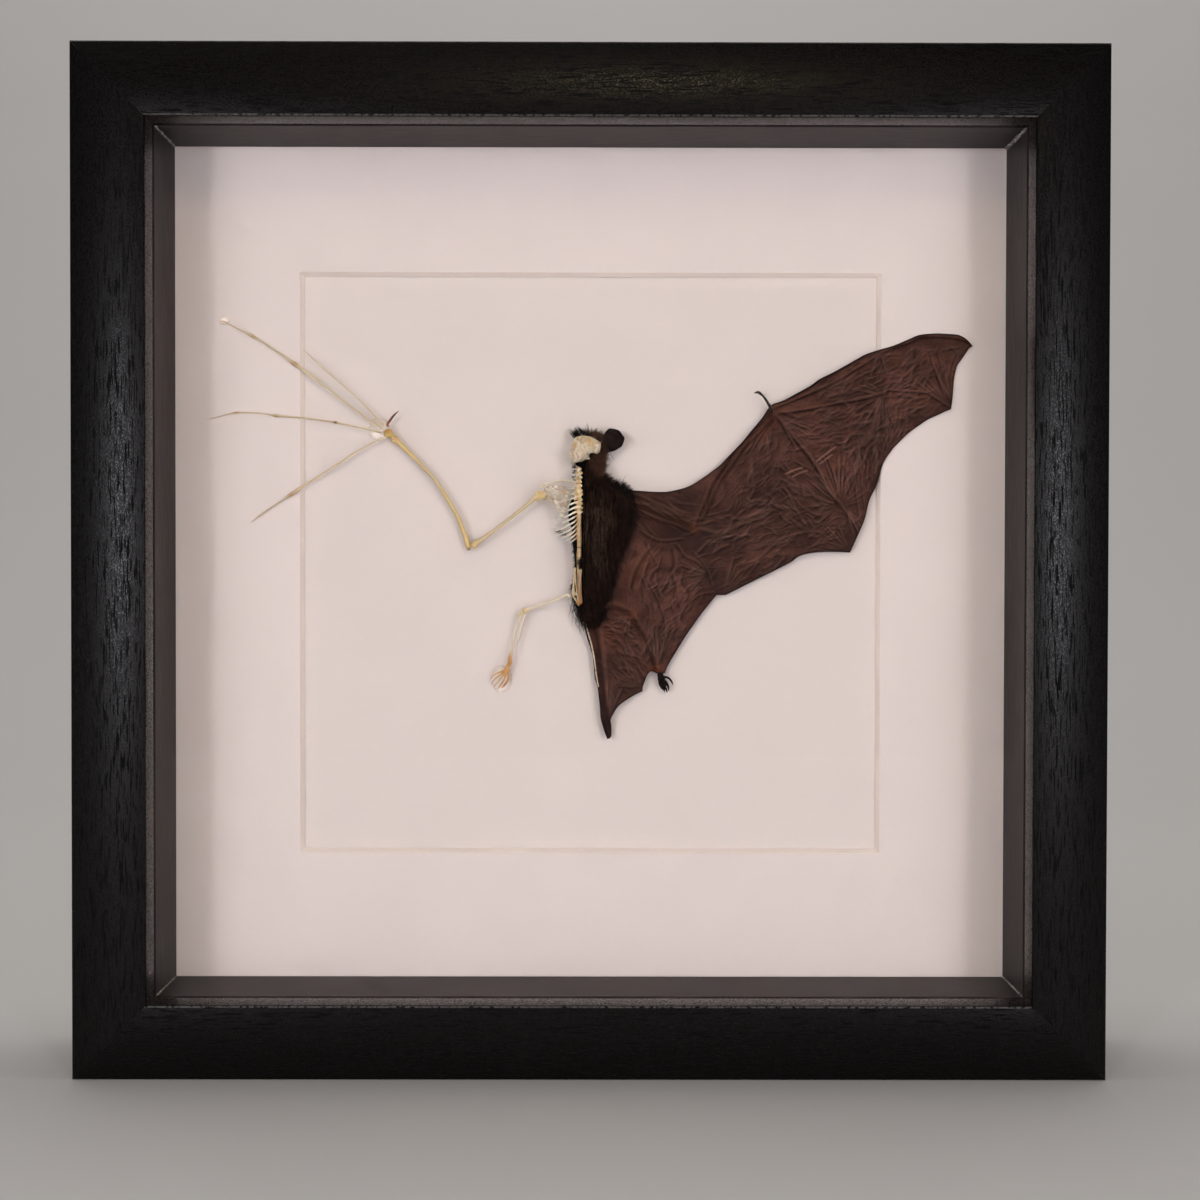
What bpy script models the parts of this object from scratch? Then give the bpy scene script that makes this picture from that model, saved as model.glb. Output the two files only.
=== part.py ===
"""A bat in a deep square box frame, one half a cleaned skeleton, the other half with its fur and wing skin.

Metres, +Z up. The frame stands on its bottom rail with the origin under its middle. Its front faces -Y.
The specimen's landmarks are in millimetres on the face of the mat: u to the right, v up from the
middle of the window, and h out towards the glass.
"""

import math

import bmesh
import bpy
from mathutils import Matrix, Vector
from mathutils.geometry import delaunay_2d_cdt

# Driving dimensions of the frame
FRAME_SIDE = 0.250
FRAME_DEPTH = 0.045
FACE_WIDTH = 0.018
REBATE_WALL = 0.010
LIP_DEPTH = 0.008
EDGE_CHAMFER = 0.0005
FIT_GAP = 0.0003

GLASS_THICKNESS = 0.002
MAT_FACE_DEPTH = 0.034
MAT_THICKNESS = 0.0014
MAT_WINDOW = 0.150
MAT_BEVEL = 0.001
CARD_THICKNESS = 0.0008
PANEL_THICKNESS = 0.003

TAB_LENGTH = 0.015
TAB_WIDTH = 0.006
TAB_THICKNESS = 0.0004
TAB_IN_WOOD = 0.005
TAB_OFFSET = 0.060

HANGER_LENGTH = 0.046
HANGER_HEIGHT = 0.0085
HANGER_THICKNESS = 0.0008
HANGER_LIFT = 0.0016
HANGER_TOOTH = 0.0012
HANGER_TEETH = 12
HANGER_TEETH_SHARE = 0.65
HANGER_FLAT_SHARE = 0.78
HANGER_Z = 0.210
RIVET_SPACING = 0.041
RIVET_HEAD_RADIUS = 0.0022
RIVET_HEAD_HEIGHT = 0.0008
RIVET_RADIUS = 0.0011

# Worked out from them
HALF = FRAME_SIDE / 2
CENTRE_Z = HALF
FRONT_Y = -FRAME_DEPTH / 2
INNER_HALF = HALF - REBATE_WALL - FIT_GAP
GLASS_DEPTH = LIP_DEPTH + FIT_GAP
LINER_FRONT = GLASS_DEPTH + GLASS_THICKNESS + FIT_GAP
LINER_BACK = MAT_FACE_DEPTH - FIT_GAP
CARD_DEPTH = MAT_FACE_DEPTH + MAT_THICKNESS + FIT_GAP
PANEL_DEPTH = CARD_DEPTH + CARD_THICKNESS + FIT_GAP
PANEL_BACK = PANEL_DEPTH + PANEL_THICKNESS
TAB_DEPTH = PANEL_BACK + FIT_GAP
HANGER_DEPTH = PANEL_BACK + FIT_GAP
MITRE_GAP = FIT_GAP / math.sqrt(2)

# The specimen, in millimetres
MM = 0.001
CARD_FACE = (MAT_FACE_DEPTH - CARD_DEPTH) / MM
FIT = FIT_GAP / MM
BODY_BACK = CARD_FACE + FIT

# Bones of the bare half: (u, v, h, radius) along each
CLAVICLE = [
    (-12.8, 19.2, 4.6, 0.35), (-11.6, 20.2, 4.6, 0.40), (-9.6, 20.9, 4.5, 0.42),
    (-7.5, 21.2, 4.2, 0.40), (-5.5, 21.0, 3.7, 0.38), (-4.3, 20.6, 3.3, 0.35),
]
HUMERUS = [
    (-12.5, 17.3, 4.2, 0.90), (-13.8, 17.0, 4.1, 0.75), (-16.0, 15.2, 3.7, 0.52), (-20.0, 12.0, 3.1, 0.50),
    (-25.1, 8.1, 2.3, 0.55), (-28.4, 5.8, 1.7, 0.70), (-29.9, 4.95, 1.5, 0.75),
]
FOREARM = [
    (-31.1, 3.5, 1.4, 0.35), (-31.6, 4.7, 1.4, 0.75), (-32.0, 6.4, 1.4, 0.75), (-32.9, 8.6, 1.4, 0.62),
    (-33.9, 11.3, 1.4, 0.60), (-35.9, 15.0, 1.4, 0.58), (-38.1, 18.5, 1.4, 0.56), (-40.0, 21.5, 1.4, 0.56),
    (-42.6, 24.2, 1.4, 0.56), (-45.0, 26.8, 1.4, 0.60), (-47.1, 28.8, 1.4, 0.66), (-48.7, 30.4, 1.4, 0.72),
    (-50.2, 31.8, 1.4, 0.75),
]
THUMB = [
    (-52.2, 35.2, 1.5, 0.36), (-52.2, 35.8, 1.7, 0.36), (-51.6, 36.6, 1.9, 0.34), (-50.6, 37.9, 2.1, 0.26),
    (-49.3, 39.1, 2.0, 0.08),
]
FINGER_2 = [
    (-53.3, 35.5, 1.2, 0.30), (-55.3, 37.6, 1.1, 0.32), (-57.5, 40.0, 1.0, 0.27), (-59.2, 41.7, 1.0, 0.25),
    (-64.0, 46.0, 0.9, 0.24), (-70.0, 51.2, 0.85, 0.24), (-74.0, 55.0, 0.85, 0.12),
]
FINGER_3 = [
    (-53.75, 34.6, 1.1, 0.32), (-57.3, 37.0, 1.1, 0.33), (-60.0, 39.0, 1.0, 0.30), (-63.6, 41.7, 1.0, 0.32),
    (-70.0, 46.7, 0.95, 0.42), (-74.3, 49.9, 0.95, 0.48), (-76.2, 51.2, 1.0, 0.60), (-77.6, 52.2, 0.95, 0.38),
    (-80.0, 54.0, 0.9, 0.27), (-84.9, 57.1, 0.95, 0.27), (-86.9, 58.25, 1.0, 0.42), (-88.4, 59.1, 1.0, 0.32),
    (-90.0, 59.9, 1.1, 0.22), (-93.9, 61.8, 1.25, 0.20), (-95.2, 62.2, 1.3, 0.12),
]
FINGER_4 = [
    (-53.9, 33.65, 1.1, 0.28), (-57.3, 34.5, 1.1, 0.25), (-60.0, 35.0, 1.0, 0.24), (-62.8, 35.6, 1.0, 0.24),
    (-65.7, 36.2, 1.0, 0.34), (-68.0, 36.6, 0.9, 0.25), (-74.4, 37.4, 0.85, 0.26), (-79.6, 37.8, 0.9, 0.32),
    (-81.0, 37.85, 0.9, 0.42), (-82.6, 38.15, 0.9, 0.26), (-85.9, 38.6, 0.85, 0.20), (-90.0, 38.75, 0.85, 0.22),
    (-91.4, 38.7, 0.9, 0.30), (-93.0, 38.4, 0.85, 0.22), (-97.5, 37.2, 0.8, 0.14), (-98.8, 37.1, 0.8, 0.10),
]
FINGER_5 = [
    (-53.55, 32.45, 1.1, 0.28), (-55.9, 31.1, 1.1, 0.25), (-60.0, 28.8, 1.0, 0.26), (-65.0, 25.6, 1.0, 0.30),
    (-70.0, 22.35, 0.95, 0.32), (-74.0, 19.85, 0.95, 0.34), (-76.6, 17.95, 1.0, 0.50), (-78.2, 17.0, 0.95, 0.36),
    (-79.8, 15.9, 0.9, 0.25), (-84.7, 12.7, 0.85, 0.20), (-87.4, 10.5, 0.8, 0.12),
]
FEMUR = [
    (-5.4, -8.0, 4.0, 0.60), (-6.6, -8.4, 3.8, 0.46), (-10.0, -9.8, 3.0, 0.42), (-14.0, -11.1, 2.2, 0.45),
    (-16.0, -11.9, 1.9, 0.62), (-16.9, -12.25, 1.8, 0.60),
]
TIBIA = [
    (-17.95, -13.35, 1.6, 0.58), (-18.4, -14.8, 1.5, 0.42), (-19.4, -18.2, 1.4, 0.34), (-20.2, -22.0, 1.3, 0.40),
    (-20.6, -24.2, 1.3, 0.62),
]
FIBULA = [
    (-16.85, -13.7, 1.5, 0.26), (-17.7, -16.5, 1.4, 0.20), (-18.5, -19.2, 1.3, 0.20), (-19.1, -21.4, 1.3, 0.15),
]
PELVIS = [
    (-3.9, -1.2, 5.6, 0.32), (-4.1, -3.5, 5.2, 0.42), (-4.3, -6.0, 4.6, 0.50), (-4.2, -7.8, 4.2, 0.52),
    (-3.7, -9.4, 4.0, 0.38), (-3.3, -10.6, 3.8, 0.25),
]
SPINE = [
    (-3.1, 24.0, 4.6), (-3.0, 21.5, 5.6), (-2.9, 17.0, 6.4), (-2.9, 12.5, 6.7), (-2.85, 8.0, 6.8),
    (-2.85, 4.0, 6.4), (-2.95, 0.0, 6.0), (-2.85, -4.0, 5.4), (-2.7, -8.0, 4.6), (-2.6, -10.2, 4.2),
]
VERTEBRA_LENGTH = 1.4
VERTEBRA_WAIST = 0.56
VERTEBRA_RADIUS = 0.74

# Ribs, from the top one down: their reach, and how much steeper each one falls than the one above
RIB_TOP = 18.6
RIB_PITCH = 1.18
RIB_RADIUS = 0.25
RIB_REACH = [5.6, 5.8, 6.0, 6.1, 6.2, 6.3, 6.3, 5.9, 4.6, 3.6]
RIB_FALL = 0.22
RIB_FALL_STEP = 0.07
# A rib's curve: share of its reach, share of its fall, rise in h, share of its radius
RIB_CURVE = [(0, 0, 0, 1), (0.25, 0.22, 0.15, 1), (0.55, 0.55, -0.9, 1), (0.85, 0.90, -3.0, 0.9), (1, 1.15, -4.6, 0.6)]

# Rounded bones, each a blend of ellipsoids: (u, v, h, radius along u, v and h)
SKULL = [
    (-1.1, 29.6, 5.7, 3.4, 3.0, 2.9), (-2.6, 27.5, 5.2, 2.4, 1.9, 2.3), (-4.4, 28.2, 4.8, 1.2, 1.2, 1.5),
    (0.8, 30.1, 5.2, 1.8, 1.8, 2.2), (-1.3, 31.3, 5.1, 2.4, 1.2, 1.9),
]
WRIST = [
    (-51.85, 33.15, 1.5, 1.15, 1.1, 0.85), (-51.8, 33.9, 1.5, 0.75, 0.7, 0.7), (-52.5, 32.9, 1.4, 0.7, 0.7, 0.6),
]
ANKLE = [
    (-20.85, -25.85, 1.4, 0.80, 0.85, 0.75), (-21.2, -26.8, 1.4, 0.75, 0.8, 0.65),
    (-21.65, -27.8, 1.3, 0.85, 1.0, 0.6),
]
BARE_TOES = [
    [(-21.3, -28.0, 1.2, 0.30), (-21.1, -29.8, 1.2, 0.28), (-22.0, -31.3, 1.1, 0.26), (-22.9, -32.2, 1.0, 0.12)],
    [(-21.7, -28.4, 1.2, 0.26), (-22.3, -30.2, 1.2, 0.22), (-23.2, -31.6, 1.1, 0.20), (-23.9, -32.5, 1.0, 0.10)],
    [(-22.0, -28.4, 1.2, 0.26), (-23.2, -29.9, 1.2, 0.22), (-24.2, -31.0, 1.1, 0.20), (-24.8, -32.0, 1.0, 0.10)],
    [(-22.1, -28.1, 1.2, 0.26), (-23.8, -29.2, 1.2, 0.22), (-24.9, -30.2, 1.1, 0.20), (-25.4, -31.1, 1.0, 0.10)],
    [(-22.1, -27.7, 1.2, 0.26), (-23.9, -28.3, 1.2, 0.22), (-25.0, -29.1, 1.1, 0.20), (-25.7, -30.0, 1.0, 0.10)],
]
SCAPULA = [
    (-11.3, 17.5), (-10.0, 18.8), (-8.0, 19.5), (-6.0, 19.2), (-5.6, 17.5), (-6.0, 15.0), (-6.3, 13.0),
    (-7.2, 11.2), (-8.2, 12.7), (-9.3, 14.5), (-10.2, 16.2),
]
SCAPULA_MIDDLE = (-8.0, 15.5)
SCAPULA_THICKNESS = 0.4
SCAPULA_INNER_EDGE = (-5.6, 6.5)
SCAPULA_SLOPE = 0.36

# Glue drops: (u, v, lowest h, highest h, radius along u, radius along v)
GLUE_WRIST = (-54.6, 34.6, BODY_BACK, 0.1, 3.0, 3.2)
GLUE_FOOT = (-23.0, -30.0, BODY_BACK, 0.1, 3.0, 3.6)
GLUE_FINGERTIP = (-94.4, 62.5, FIT, 0.75, 1.5, 1.2)
# A drop's section: share of its radius, share of its height
GLUE_SECTION = [(1.0, 0.0), (0.96, 0.4), (0.75, 0.8), (0.4, 1.0)]
GLUE_SIDES = 20

# Outlines of the preserved half
WING_LEADING = [
    (10.3, 18.9), (13.0, 18.7), (16.0, 18.5), (19.5, 18.5), (22.0, 18.95), (25.0, 19.8), (28.2, 21.6),
    (32.9, 25.0), (35.0, 27.1), (39.2, 31.5), (41.8, 34.7), (44.2, 37.6), (45.7, 39.9), (46.9, 41.1), (48.1, 41.5),
]
WING_HAND = [
    (50.0, 42.2), (51.8, 43.2), (56.5, 45.8), (59.0, 47.6), (63.0, 49.6), (69.0, 53.0), (70.6, 53.9),
    (74.1, 55.1), (77.9, 56.2), (82.0, 57.9), (84.7, 59.0), (89.0, 59.4), (93.6, 59.2), (95.2, 58.9),
    (96.9, 57.9), (98.4, 56.2),
]
WING_TIP_EDGE = [(97.5, 55.6), (96.05, 53.4), (94.7, 51.5), (94.2, 50.3), (93.6, 47.3), (93.3, 43.0), (92.9, 39.9)]
WING_SCALLOP_4 = [
    (91.4, 39.3), (89.5, 38.4), (87.1, 37.3), (84.7, 35.7), (82.2, 33.9), (80.6, 32.4), (79.0, 30.8),
    (77.6, 29.2), (75.5, 25.9), (73.8, 20.4), (72.0, 16.5), (70.9, 12.0), (69.6, 8.6), (67.0, 2.9),
]
WING_SCALLOP_5 = [
    (64.3, 3.05), (60.1, 3.05), (56.4, 2.65), (53.8, 1.87), (52.0, 0.55), (49.1, -1.0), (44.9, -3.1),
    (40.9, -5.1), (35.0, -8.1),
]
WING_TO_ANKLE = [(32.6, -8.1), (29.1, -12.4), (25.0, -18.2), (22.2, -22.7), (20.3, -25.9), (19.3, -28.3)]
WING_ALONG_LEG = [
    (18.3, -28.3), (17.4, -26.0), (16.5, -23.0), (15.4, -19.8), (14.1, -17.0), (12.4, -14.0), (11.0, -12.2),
    (8.2, -11.0), (6.1, -10.4), (4.2, -9.9),
]
BODY_SIDE = [
    (2.4, -12.2), (2.9, -9.9), (3.4, -8.0), (4.2, -5.0), (5.1, -2.0), (6.0, 1.0), (7.1, 4.0), (8.2, 7.0),
    (9.1, 10.0), (9.8, 13.0), (10.0, 16.0), (9.4, 18.6),
]
BODY_NECK = [(7.2, 19.9), (4.9, 21.2), (3.3, 22.8), (2.9, 24.5), (3.3, 26.2), (3.2, 28.0)]
BODY_HEAD = [
    (2.9, 30.0), (2.9, 32.6), (1.8, 33.4), (0.3, 34.3), (-1.8, 34.5), (-3.4, 34.1), (-4.2, 33.0), (-4.5, 31.0),
    (-4.6, 28.0), (-4.4, 25.4), (-2.7, 24.9),
]
BODY_CUT = -1.75
BODY_CUT_STATIONS = [24.4, 21.5, 18.5, 15.5, 12.4]
BODY_SHELF = [
    (-4.2, 11.8), (-4.8, 8.0), (-5.0, 3.0), (-5.1, -1.0), (-4.9, -4.0), (-5.2, -6.0), (-4.3, -9.0),
    (-3.0, -10.8), (-3.3, -12.2), (-2.0, -14.8),
]
BODY_RUMP = [(0.2, -14.6), (1.8, -13.6)]
TAIL_EDGE = [
    (-1.7, -15.6), (-0.7, -19.7), (0.0, -21.4), (0.6, -24.0), (0.9, -26.6), (1.2, -29.6), (1.9, -32.1),
    (2.2, -34.5), (2.5, -37.0), (2.7, -39.8), (3.2, -41.8), (3.8, -43.7), (4.45, -45.3),
]
TAIL_MEMBRANE_EDGE = [
    (5.1, -45.1), (5.5, -44.3), (5.5, -42.0), (5.3, -40.4), (5.9, -39.0), (7.2, -36.9), (9.4, -35.2),
    (11.9, -33.7), (13.5, -33.0),
]
CALCAR_GAP = [(13.7, -31.7), (14.1, -30.4), (14.6, -29.1), (15.3, -28.1), (15.9, -27.8), (16.6, -28.0)]
LEG_OUTSIDE = [
    (17.9, -28.0), (17.05, -26.0), (16.15, -23.0), (15.05, -19.9), (13.75, -17.1), (12.1, -14.2), (10.8, -12.5),
    (8.0, -11.35), (6.0, -10.75), (3.5, -10.5),
]
TAIL_ROOT = [(2.9, -12.6), (2.1, -14.0), (0.2, -15.1)]
EAR = [
    (3.6, 28.1), (5.0, 28.6), (6.3, 28.95), (7.4, 29.6), (8.0, 30.0), (8.55, 31.2), (8.7, 32.2), (8.2, 32.9),
    (7.5, 33.9), (6.5, 34.4), (4.9, 34.65), (4.2, 34.2), (3.6, 33.5), (3.3, 31.0),
]
EAR_ROOT = (3.3, 2.6)
EAR_SLOPE = 0.25
EAR_THICKNESS = 0.9
FOOT_PALM = [(18.3, -29.4, 1.3, 0.85, 0.75, 0.6), (18.6, -30.2, 1.2, 0.9, 0.9, 0.5)]
FURRED_TOES = [
    [(18.9, -29.3, 1.3, 0.30), (20.3, -29.6, 1.3, 0.30), (21.1, -30.5, 1.2, 0.28), (21.4, -31.4, 1.0, 0.12)],
    [(19.0, -30.0, 1.2, 0.32), (19.8, -31.0, 1.2, 0.30), (20.2, -32.0, 1.1, 0.26), (20.3, -32.8, 0.9, 0.10)],
    [(18.7, -30.4, 1.2, 0.32), (19.2, -31.6, 1.2, 0.30), (19.6, -32.6, 1.1, 0.26), (19.8, -33.3, 0.9, 0.10)],
    [(18.3, -30.4, 1.2, 0.32), (18.5, -31.5, 1.2, 0.28), (18.9, -32.5, 1.1, 0.24), (19.2, -33.2, 0.9, 0.10)],
    [(17.9, -30.0, 1.2, 0.32), (17.9, -31.0, 1.2, 0.28), (18.3, -31.9, 1.1, 0.24), (18.6, -32.6, 0.9, 0.10)],
]
WING_THUMB = [
    (45.55, 41.2, 1.6, 0.42), (45.0, 42.2, 1.9, 0.40), (44.2, 43.2, 2.1, 0.36), (43.2, 43.95, 2.1, 0.26),
    (42.1, 43.9, 1.9, 0.08),
]

# Ridges under the skin: (u, v) along each, then its height and its half width
WING_RIDGES = [
    ([(11.5, 15.4), (19.0, 12.2), (27.0, 8.9)], 1.0, 1.1),
    ([(27.2, 9.0), (30.0, 16.1), (33.4, 23.1), (38.7, 30.0), (43.1, 34.4), (46.8, 38.8)], 1.1, 1.0),
    ([(47.6, 37.6), (53.1, 31.0), (59.1, 22.6), (64.3, 14.8), (68.6, 7.8), (67.4, 3.6)], 0.6, 0.9),
    ([(48.4, 38.6), (59.7, 40.2), (69.8, 42.1), (75.8, 44.1), (86.6, 43.9), (92.4, 40.4)], 0.6, 0.9),
    ([(47.8, 40.4), (59.4, 45.5), (74.1, 53.5), (82.0, 56.8), (90.0, 58.4), (97.3, 56.8)], 0.7, 0.9),
]
TAIL_RIDGES = [
    ([(2.4, -12.8), (6.5, -11.9), (10.4, -13.2), (13.2, -18.0), (15.2, -22.5), (16.9, -27.4)], 1.0, 0.9),
    ([(1.5, -16.5), (2.6, -24.0), (3.7, -33.0), (4.3, -40.0), (4.7, -44.4)], 1.2, 1.3),
]
SKIN_THICKNESS = 0.7
SKIN_SPACING = 3.0
SKIN_EDGE_STEP = 2.8
SKIN_BODY_GAP = (0.45, 0.1)
RIDGE_STEP = 2.6
RIDGE_FOOT = 1.6

# The torso's height over the mat along its cut midline: (v, h)
BODY_CREST = [
    (-15.0, 2.2), (-10.0, 5.0), (-4.0, 6.6), (2.0, 7.4), (9.0, 8.2), (15.0, 7.8), (19.0, 6.8), (22.0, 5.4),
    (23.6, 4.2), (24.9, 2.4), (36.0, 2.4),
]
BODY_SHELF_HEIGHT = 1.2
BODY_EDGE_HEIGHT = 1.6
BODY_ROUNDING = 8.5
BODY_STEP = 2.4
BODY_SPACING = 1.9
CUT_WALL = 0.25
CUT_PITCH = 2.1
CUT_CLEARANCE = 0.8

# Locks of fur: apart, half width, length, depth of the root, and how far in from the margin it starts
LOCK_SPACING = 2.5
LOCK_WIDTH = 0.65
LOCK_LENGTH = 2.6
LOCK_ROOT = 0.3
LOCK_INSET = 1.4
LOCK_MARGIN = 2.6
SIDE_LIFT = 0.6
LOW_LIFT = -0.5
BACK_LIFT = 1.0
SHOULDER_V = 18.4


def clear_scene():
    """Empty the file of its objects."""
    for old in list(bpy.data.objects):
        bpy.data.objects.remove(old, do_unlink=True)


def make_material(name, colour, roughness, metallic=0.0, clear=0.0):
    """A Principled material; clear is its transmission."""
    mat = bpy.data.materials.new(name)
    mat.use_nodes = True
    shader = mat.node_tree.nodes["Principled BSDF"]
    shader.inputs["Base Color"].default_value = (*colour, 1.0)
    shader.inputs["Roughness"].default_value = roughness
    shader.inputs["Metallic"].default_value = metallic
    shader.inputs["Transmission Weight"].default_value = clear
    return mat


def add_empty(name, location):
    """A parent for pieces that are placed together."""
    empty = bpy.data.objects.new(name, None)
    empty.location = location
    bpy.context.collection.objects.link(empty)
    return empty


def add_piece(name, shell, material, parent, location=(0, 0, 0), angle=0.0, smooth=False):
    """An object from a bmesh, with its faces pointing out. angle turns it about Y."""
    bmesh.ops.recalc_face_normals(shell, faces=shell.faces)
    mesh = bpy.data.meshes.new(name)
    shell.to_mesh(mesh)
    shell.free()
    if smooth:
        mesh.shade_smooth()
        mesh.set_sharp_from_angle(angle=math.radians(50))
    mesh.materials.append(material)
    piece = bpy.data.objects.new(name, mesh)
    piece.parent = parent
    piece.location = location
    piece.rotation_euler = (0, angle, 0)
    bpy.context.collection.objects.link(piece)
    return piece


def add_boolean(piece, other, operation):
    """Cut other out of the piece, or fuse it on, and leave other as a guide. Fused shapes may cross."""
    other.hide_render = True
    other.display_type = "WIRE"
    modifier = piece.modifiers.new(other.name, "BOOLEAN")
    modifier.operation = operation
    modifier.object = other
    modifier.solver = "EXACT"
    modifier.use_self = operation == "UNION"


def box_shell(low, high):
    """A box between two corners."""
    shell = bmesh.new()
    size = [b - a for a, b in zip(low, high)]
    middle = [(a + b) / 2 for a, b in zip(low, high)]
    bmesh.ops.create_cube(shell, size=1.0, matrix=Matrix.LocRotScale(middle, None, size))
    return shell


def lofted_shell(rings, closed_ends=True):
    """A shell through rings of the same number of points."""
    shell = bmesh.new()
    rows = [[shell.verts.new(point) for point in ring] for ring in rings]
    count = len(rows[0])
    for row, following in zip(rows, rows[1:]):
        for i in range(count):
            j = (i + 1) % count
            shell.faces.new((row[i], row[j], following[j], following[i]))
    if closed_ends:
        shell.faces.new(rows[0])
        shell.faces.new(reversed(rows[-1]))
    return shell


def mitred_shell(profile):
    """The top strip of a square frame. profile lists (inset from the outside, depth from the front)."""
    ends = []
    for side in (-1, 1):
        reach = [side * (HALF - inset - MITRE_GAP) for inset, _ in profile]
        ends.append([(x, FRONT_Y + depth, HALF - inset) for x, (inset, depth) in zip(reach, profile)])
    return lofted_shell(ends)


def four_sides(name, profile, material, parent):
    """The same mitred strip on all four sides."""
    strips = []
    for turn, side in enumerate(("top", "right", "bottom", "left")):
        strip = add_piece(f"{name}_{side}", mitred_shell(profile), material, parent, angle=turn * math.pi / 2)
        strips.append(strip)
    return strips


def flat_board(name, depth, thickness, material, parent):
    """A square board that fills the rebate."""
    low = (-INNER_HALF, FRONT_Y + depth, -INNER_HALF)
    high = (INNER_HALF, FRONT_Y + depth + thickness, INNER_HALF)
    return add_piece(name, box_shell(low, high), material, parent)


def square(half, depth):
    """The corners of a square round the frame's middle."""
    return [(x * half, FRONT_Y + depth, z * half) for x, z in ((-1, -1), (1, -1), (1, 1), (-1, 1))]


def mat_shell():
    """A square board with a bevelled square window."""
    back = MAT_FACE_DEPTH + MAT_THICKNESS
    loops = [
        square(INNER_HALF, MAT_FACE_DEPTH),
        square(MAT_WINDOW / 2, MAT_FACE_DEPTH),
        square(MAT_WINDOW / 2 - MAT_BEVEL, back),
        square(INNER_HALF, back),
        square(INNER_HALF, MAT_FACE_DEPTH),
    ]
    shell = lofted_shell(loops, closed_ends=False)
    bmesh.ops.remove_doubles(shell, verts=shell.verts, dist=1e-6)
    return shell


def cylinder_shell(radius, low, high, sides=16):
    """A cylinder along Y from low to high."""
    turns = [2 * math.pi * i / sides for i in range(sides)]
    return lofted_shell([[(radius * math.cos(t), y, radius * math.sin(t)) for t in turns] for y in (low, high)])


def rivet_shell():
    """A round head on a shank that runs forward through the panel."""
    head = HANGER_DEPTH + HANGER_THICKNESS + FIT_GAP
    profile = [
        (RIVET_RADIUS, PANEL_DEPTH + FIT_GAP),
        (RIVET_RADIUS, head),
        (RIVET_HEAD_RADIUS, head),
        (RIVET_HEAD_RADIUS * 0.9, head + RIVET_HEAD_HEIGHT * 0.6),
        (RIVET_HEAD_RADIUS * 0.5, head + RIVET_HEAD_HEIGHT),
    ]
    sides = 12
    turns = [2 * math.pi * i / sides for i in range(sides)]
    rings = [[(r * math.cos(t), FRONT_Y + depth, r * math.sin(t)) for t in turns] for r, depth in profile]
    return lofted_shell(rings)


def hanger_shell():
    """A strip with flat ends, a raised middle and teeth along its lower edge."""
    half = HANGER_LENGTH / 2
    flat_end = half * HANGER_FLAT_SHARE
    teeth_half = half * HANGER_TEETH_SHARE
    stations = [(-half, 0), (-flat_end, 0)]
    for i in range(2 * HANGER_TEETH + 1):
        stations.append((-teeth_half + teeth_half * i / HANGER_TEETH, i % 2))
    stations += [(flat_end, 0), (half, 0)]
    rings = []
    for x, notch in stations:
        lift = HANGER_LIFT if abs(x) <= teeth_half else 0.0
        front = FRONT_Y + HANGER_DEPTH + lift
        back = front + HANGER_THICKNESS
        low = -HANGER_HEIGHT / 2 + notch * HANGER_TOOTH
        rings.append([(x, front, low), (x, back, low), (x, back, HANGER_HEIGHT / 2), (x, front, HANGER_HEIGHT / 2)])
    return lofted_shell(rings)


def make_frame(root, materials):
    """The rails, the glass and everything behind it."""
    centre = add_empty("frame_centre", (0, 0, CENTRE_Z))
    centre.parent = root
    rail_profile = [
        (EDGE_CHAMFER, 0), (FACE_WIDTH - EDGE_CHAMFER, 0), (FACE_WIDTH, EDGE_CHAMFER), (FACE_WIDTH, LIP_DEPTH),
        (REBATE_WALL, LIP_DEPTH), (REBATE_WALL, FRAME_DEPTH), (0, FRAME_DEPTH), (0, EDGE_CHAMFER),
    ]
    rails = four_sides("frame_rail", rail_profile, materials["frame_foil"], centre)
    liner_profile = [
        (REBATE_WALL + FIT_GAP, LINER_FRONT), (FACE_WIDTH, LINER_FRONT), (FACE_WIDTH, LINER_BACK),
        (REBATE_WALL + FIT_GAP, LINER_BACK),
    ]
    four_sides("liner", liner_profile, materials["liner_foil"], centre)
    flat_board("glass_pane", GLASS_DEPTH, GLASS_THICKNESS, materials["glass"], centre)
    add_piece("mat_board", mat_shell(), materials["mat_board"], centre)
    flat_board("backing_card", CARD_DEPTH, CARD_THICKNESS, materials["backing_card"], centre)
    panel = flat_board("back_panel", PANEL_DEPTH, PANEL_THICKNESS, materials["hardboard"], centre)
    make_tabs(rails, centre, materials["steel"])
    make_hanger(panel, centre, materials)


def make_tabs(rails, centre, steel):
    """Two bendable tabs in each rail, in slots cut in the side of the rebate."""
    inner_wall = HALF - REBATE_WALL
    low = inner_wall + TAB_IN_WOOD - TAB_LENGTH
    reach = TAB_WIDTH / 2
    for turn, rail in enumerate(rails):
        side_name = rail.name.rsplit("_", 1)[1]
        for number, offset in enumerate((-TAB_OFFSET, TAB_OFFSET), start=1):
            turned = Matrix.Rotation(turn * math.pi / 2, 3, "Y") @ Vector((offset, 0, 0))
            tab = box_shell(
                (-reach, FRONT_Y + TAB_DEPTH, low),
                (reach, FRONT_Y + TAB_DEPTH + TAB_THICKNESS, inner_wall + TAB_IN_WOOD),
            )
            name = f"retainer_tab_{side_name}_{number}"
            add_piece(name, tab, steel, centre, location=turned, angle=turn * math.pi / 2)
            slot = box_shell(
                (-reach - FIT_GAP, FRONT_Y + TAB_DEPTH - FIT_GAP, inner_wall - FIT_GAP),
                (reach + FIT_GAP, FRONT_Y + TAB_DEPTH + TAB_THICKNESS + FIT_GAP, inner_wall + TAB_IN_WOOD + FIT_GAP),
            )
            cutter = add_piece(f"slot_{name}", slot, steel, centre, location=turned, angle=turn * math.pi / 2)
            add_boolean(rail, cutter, "DIFFERENCE")


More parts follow.
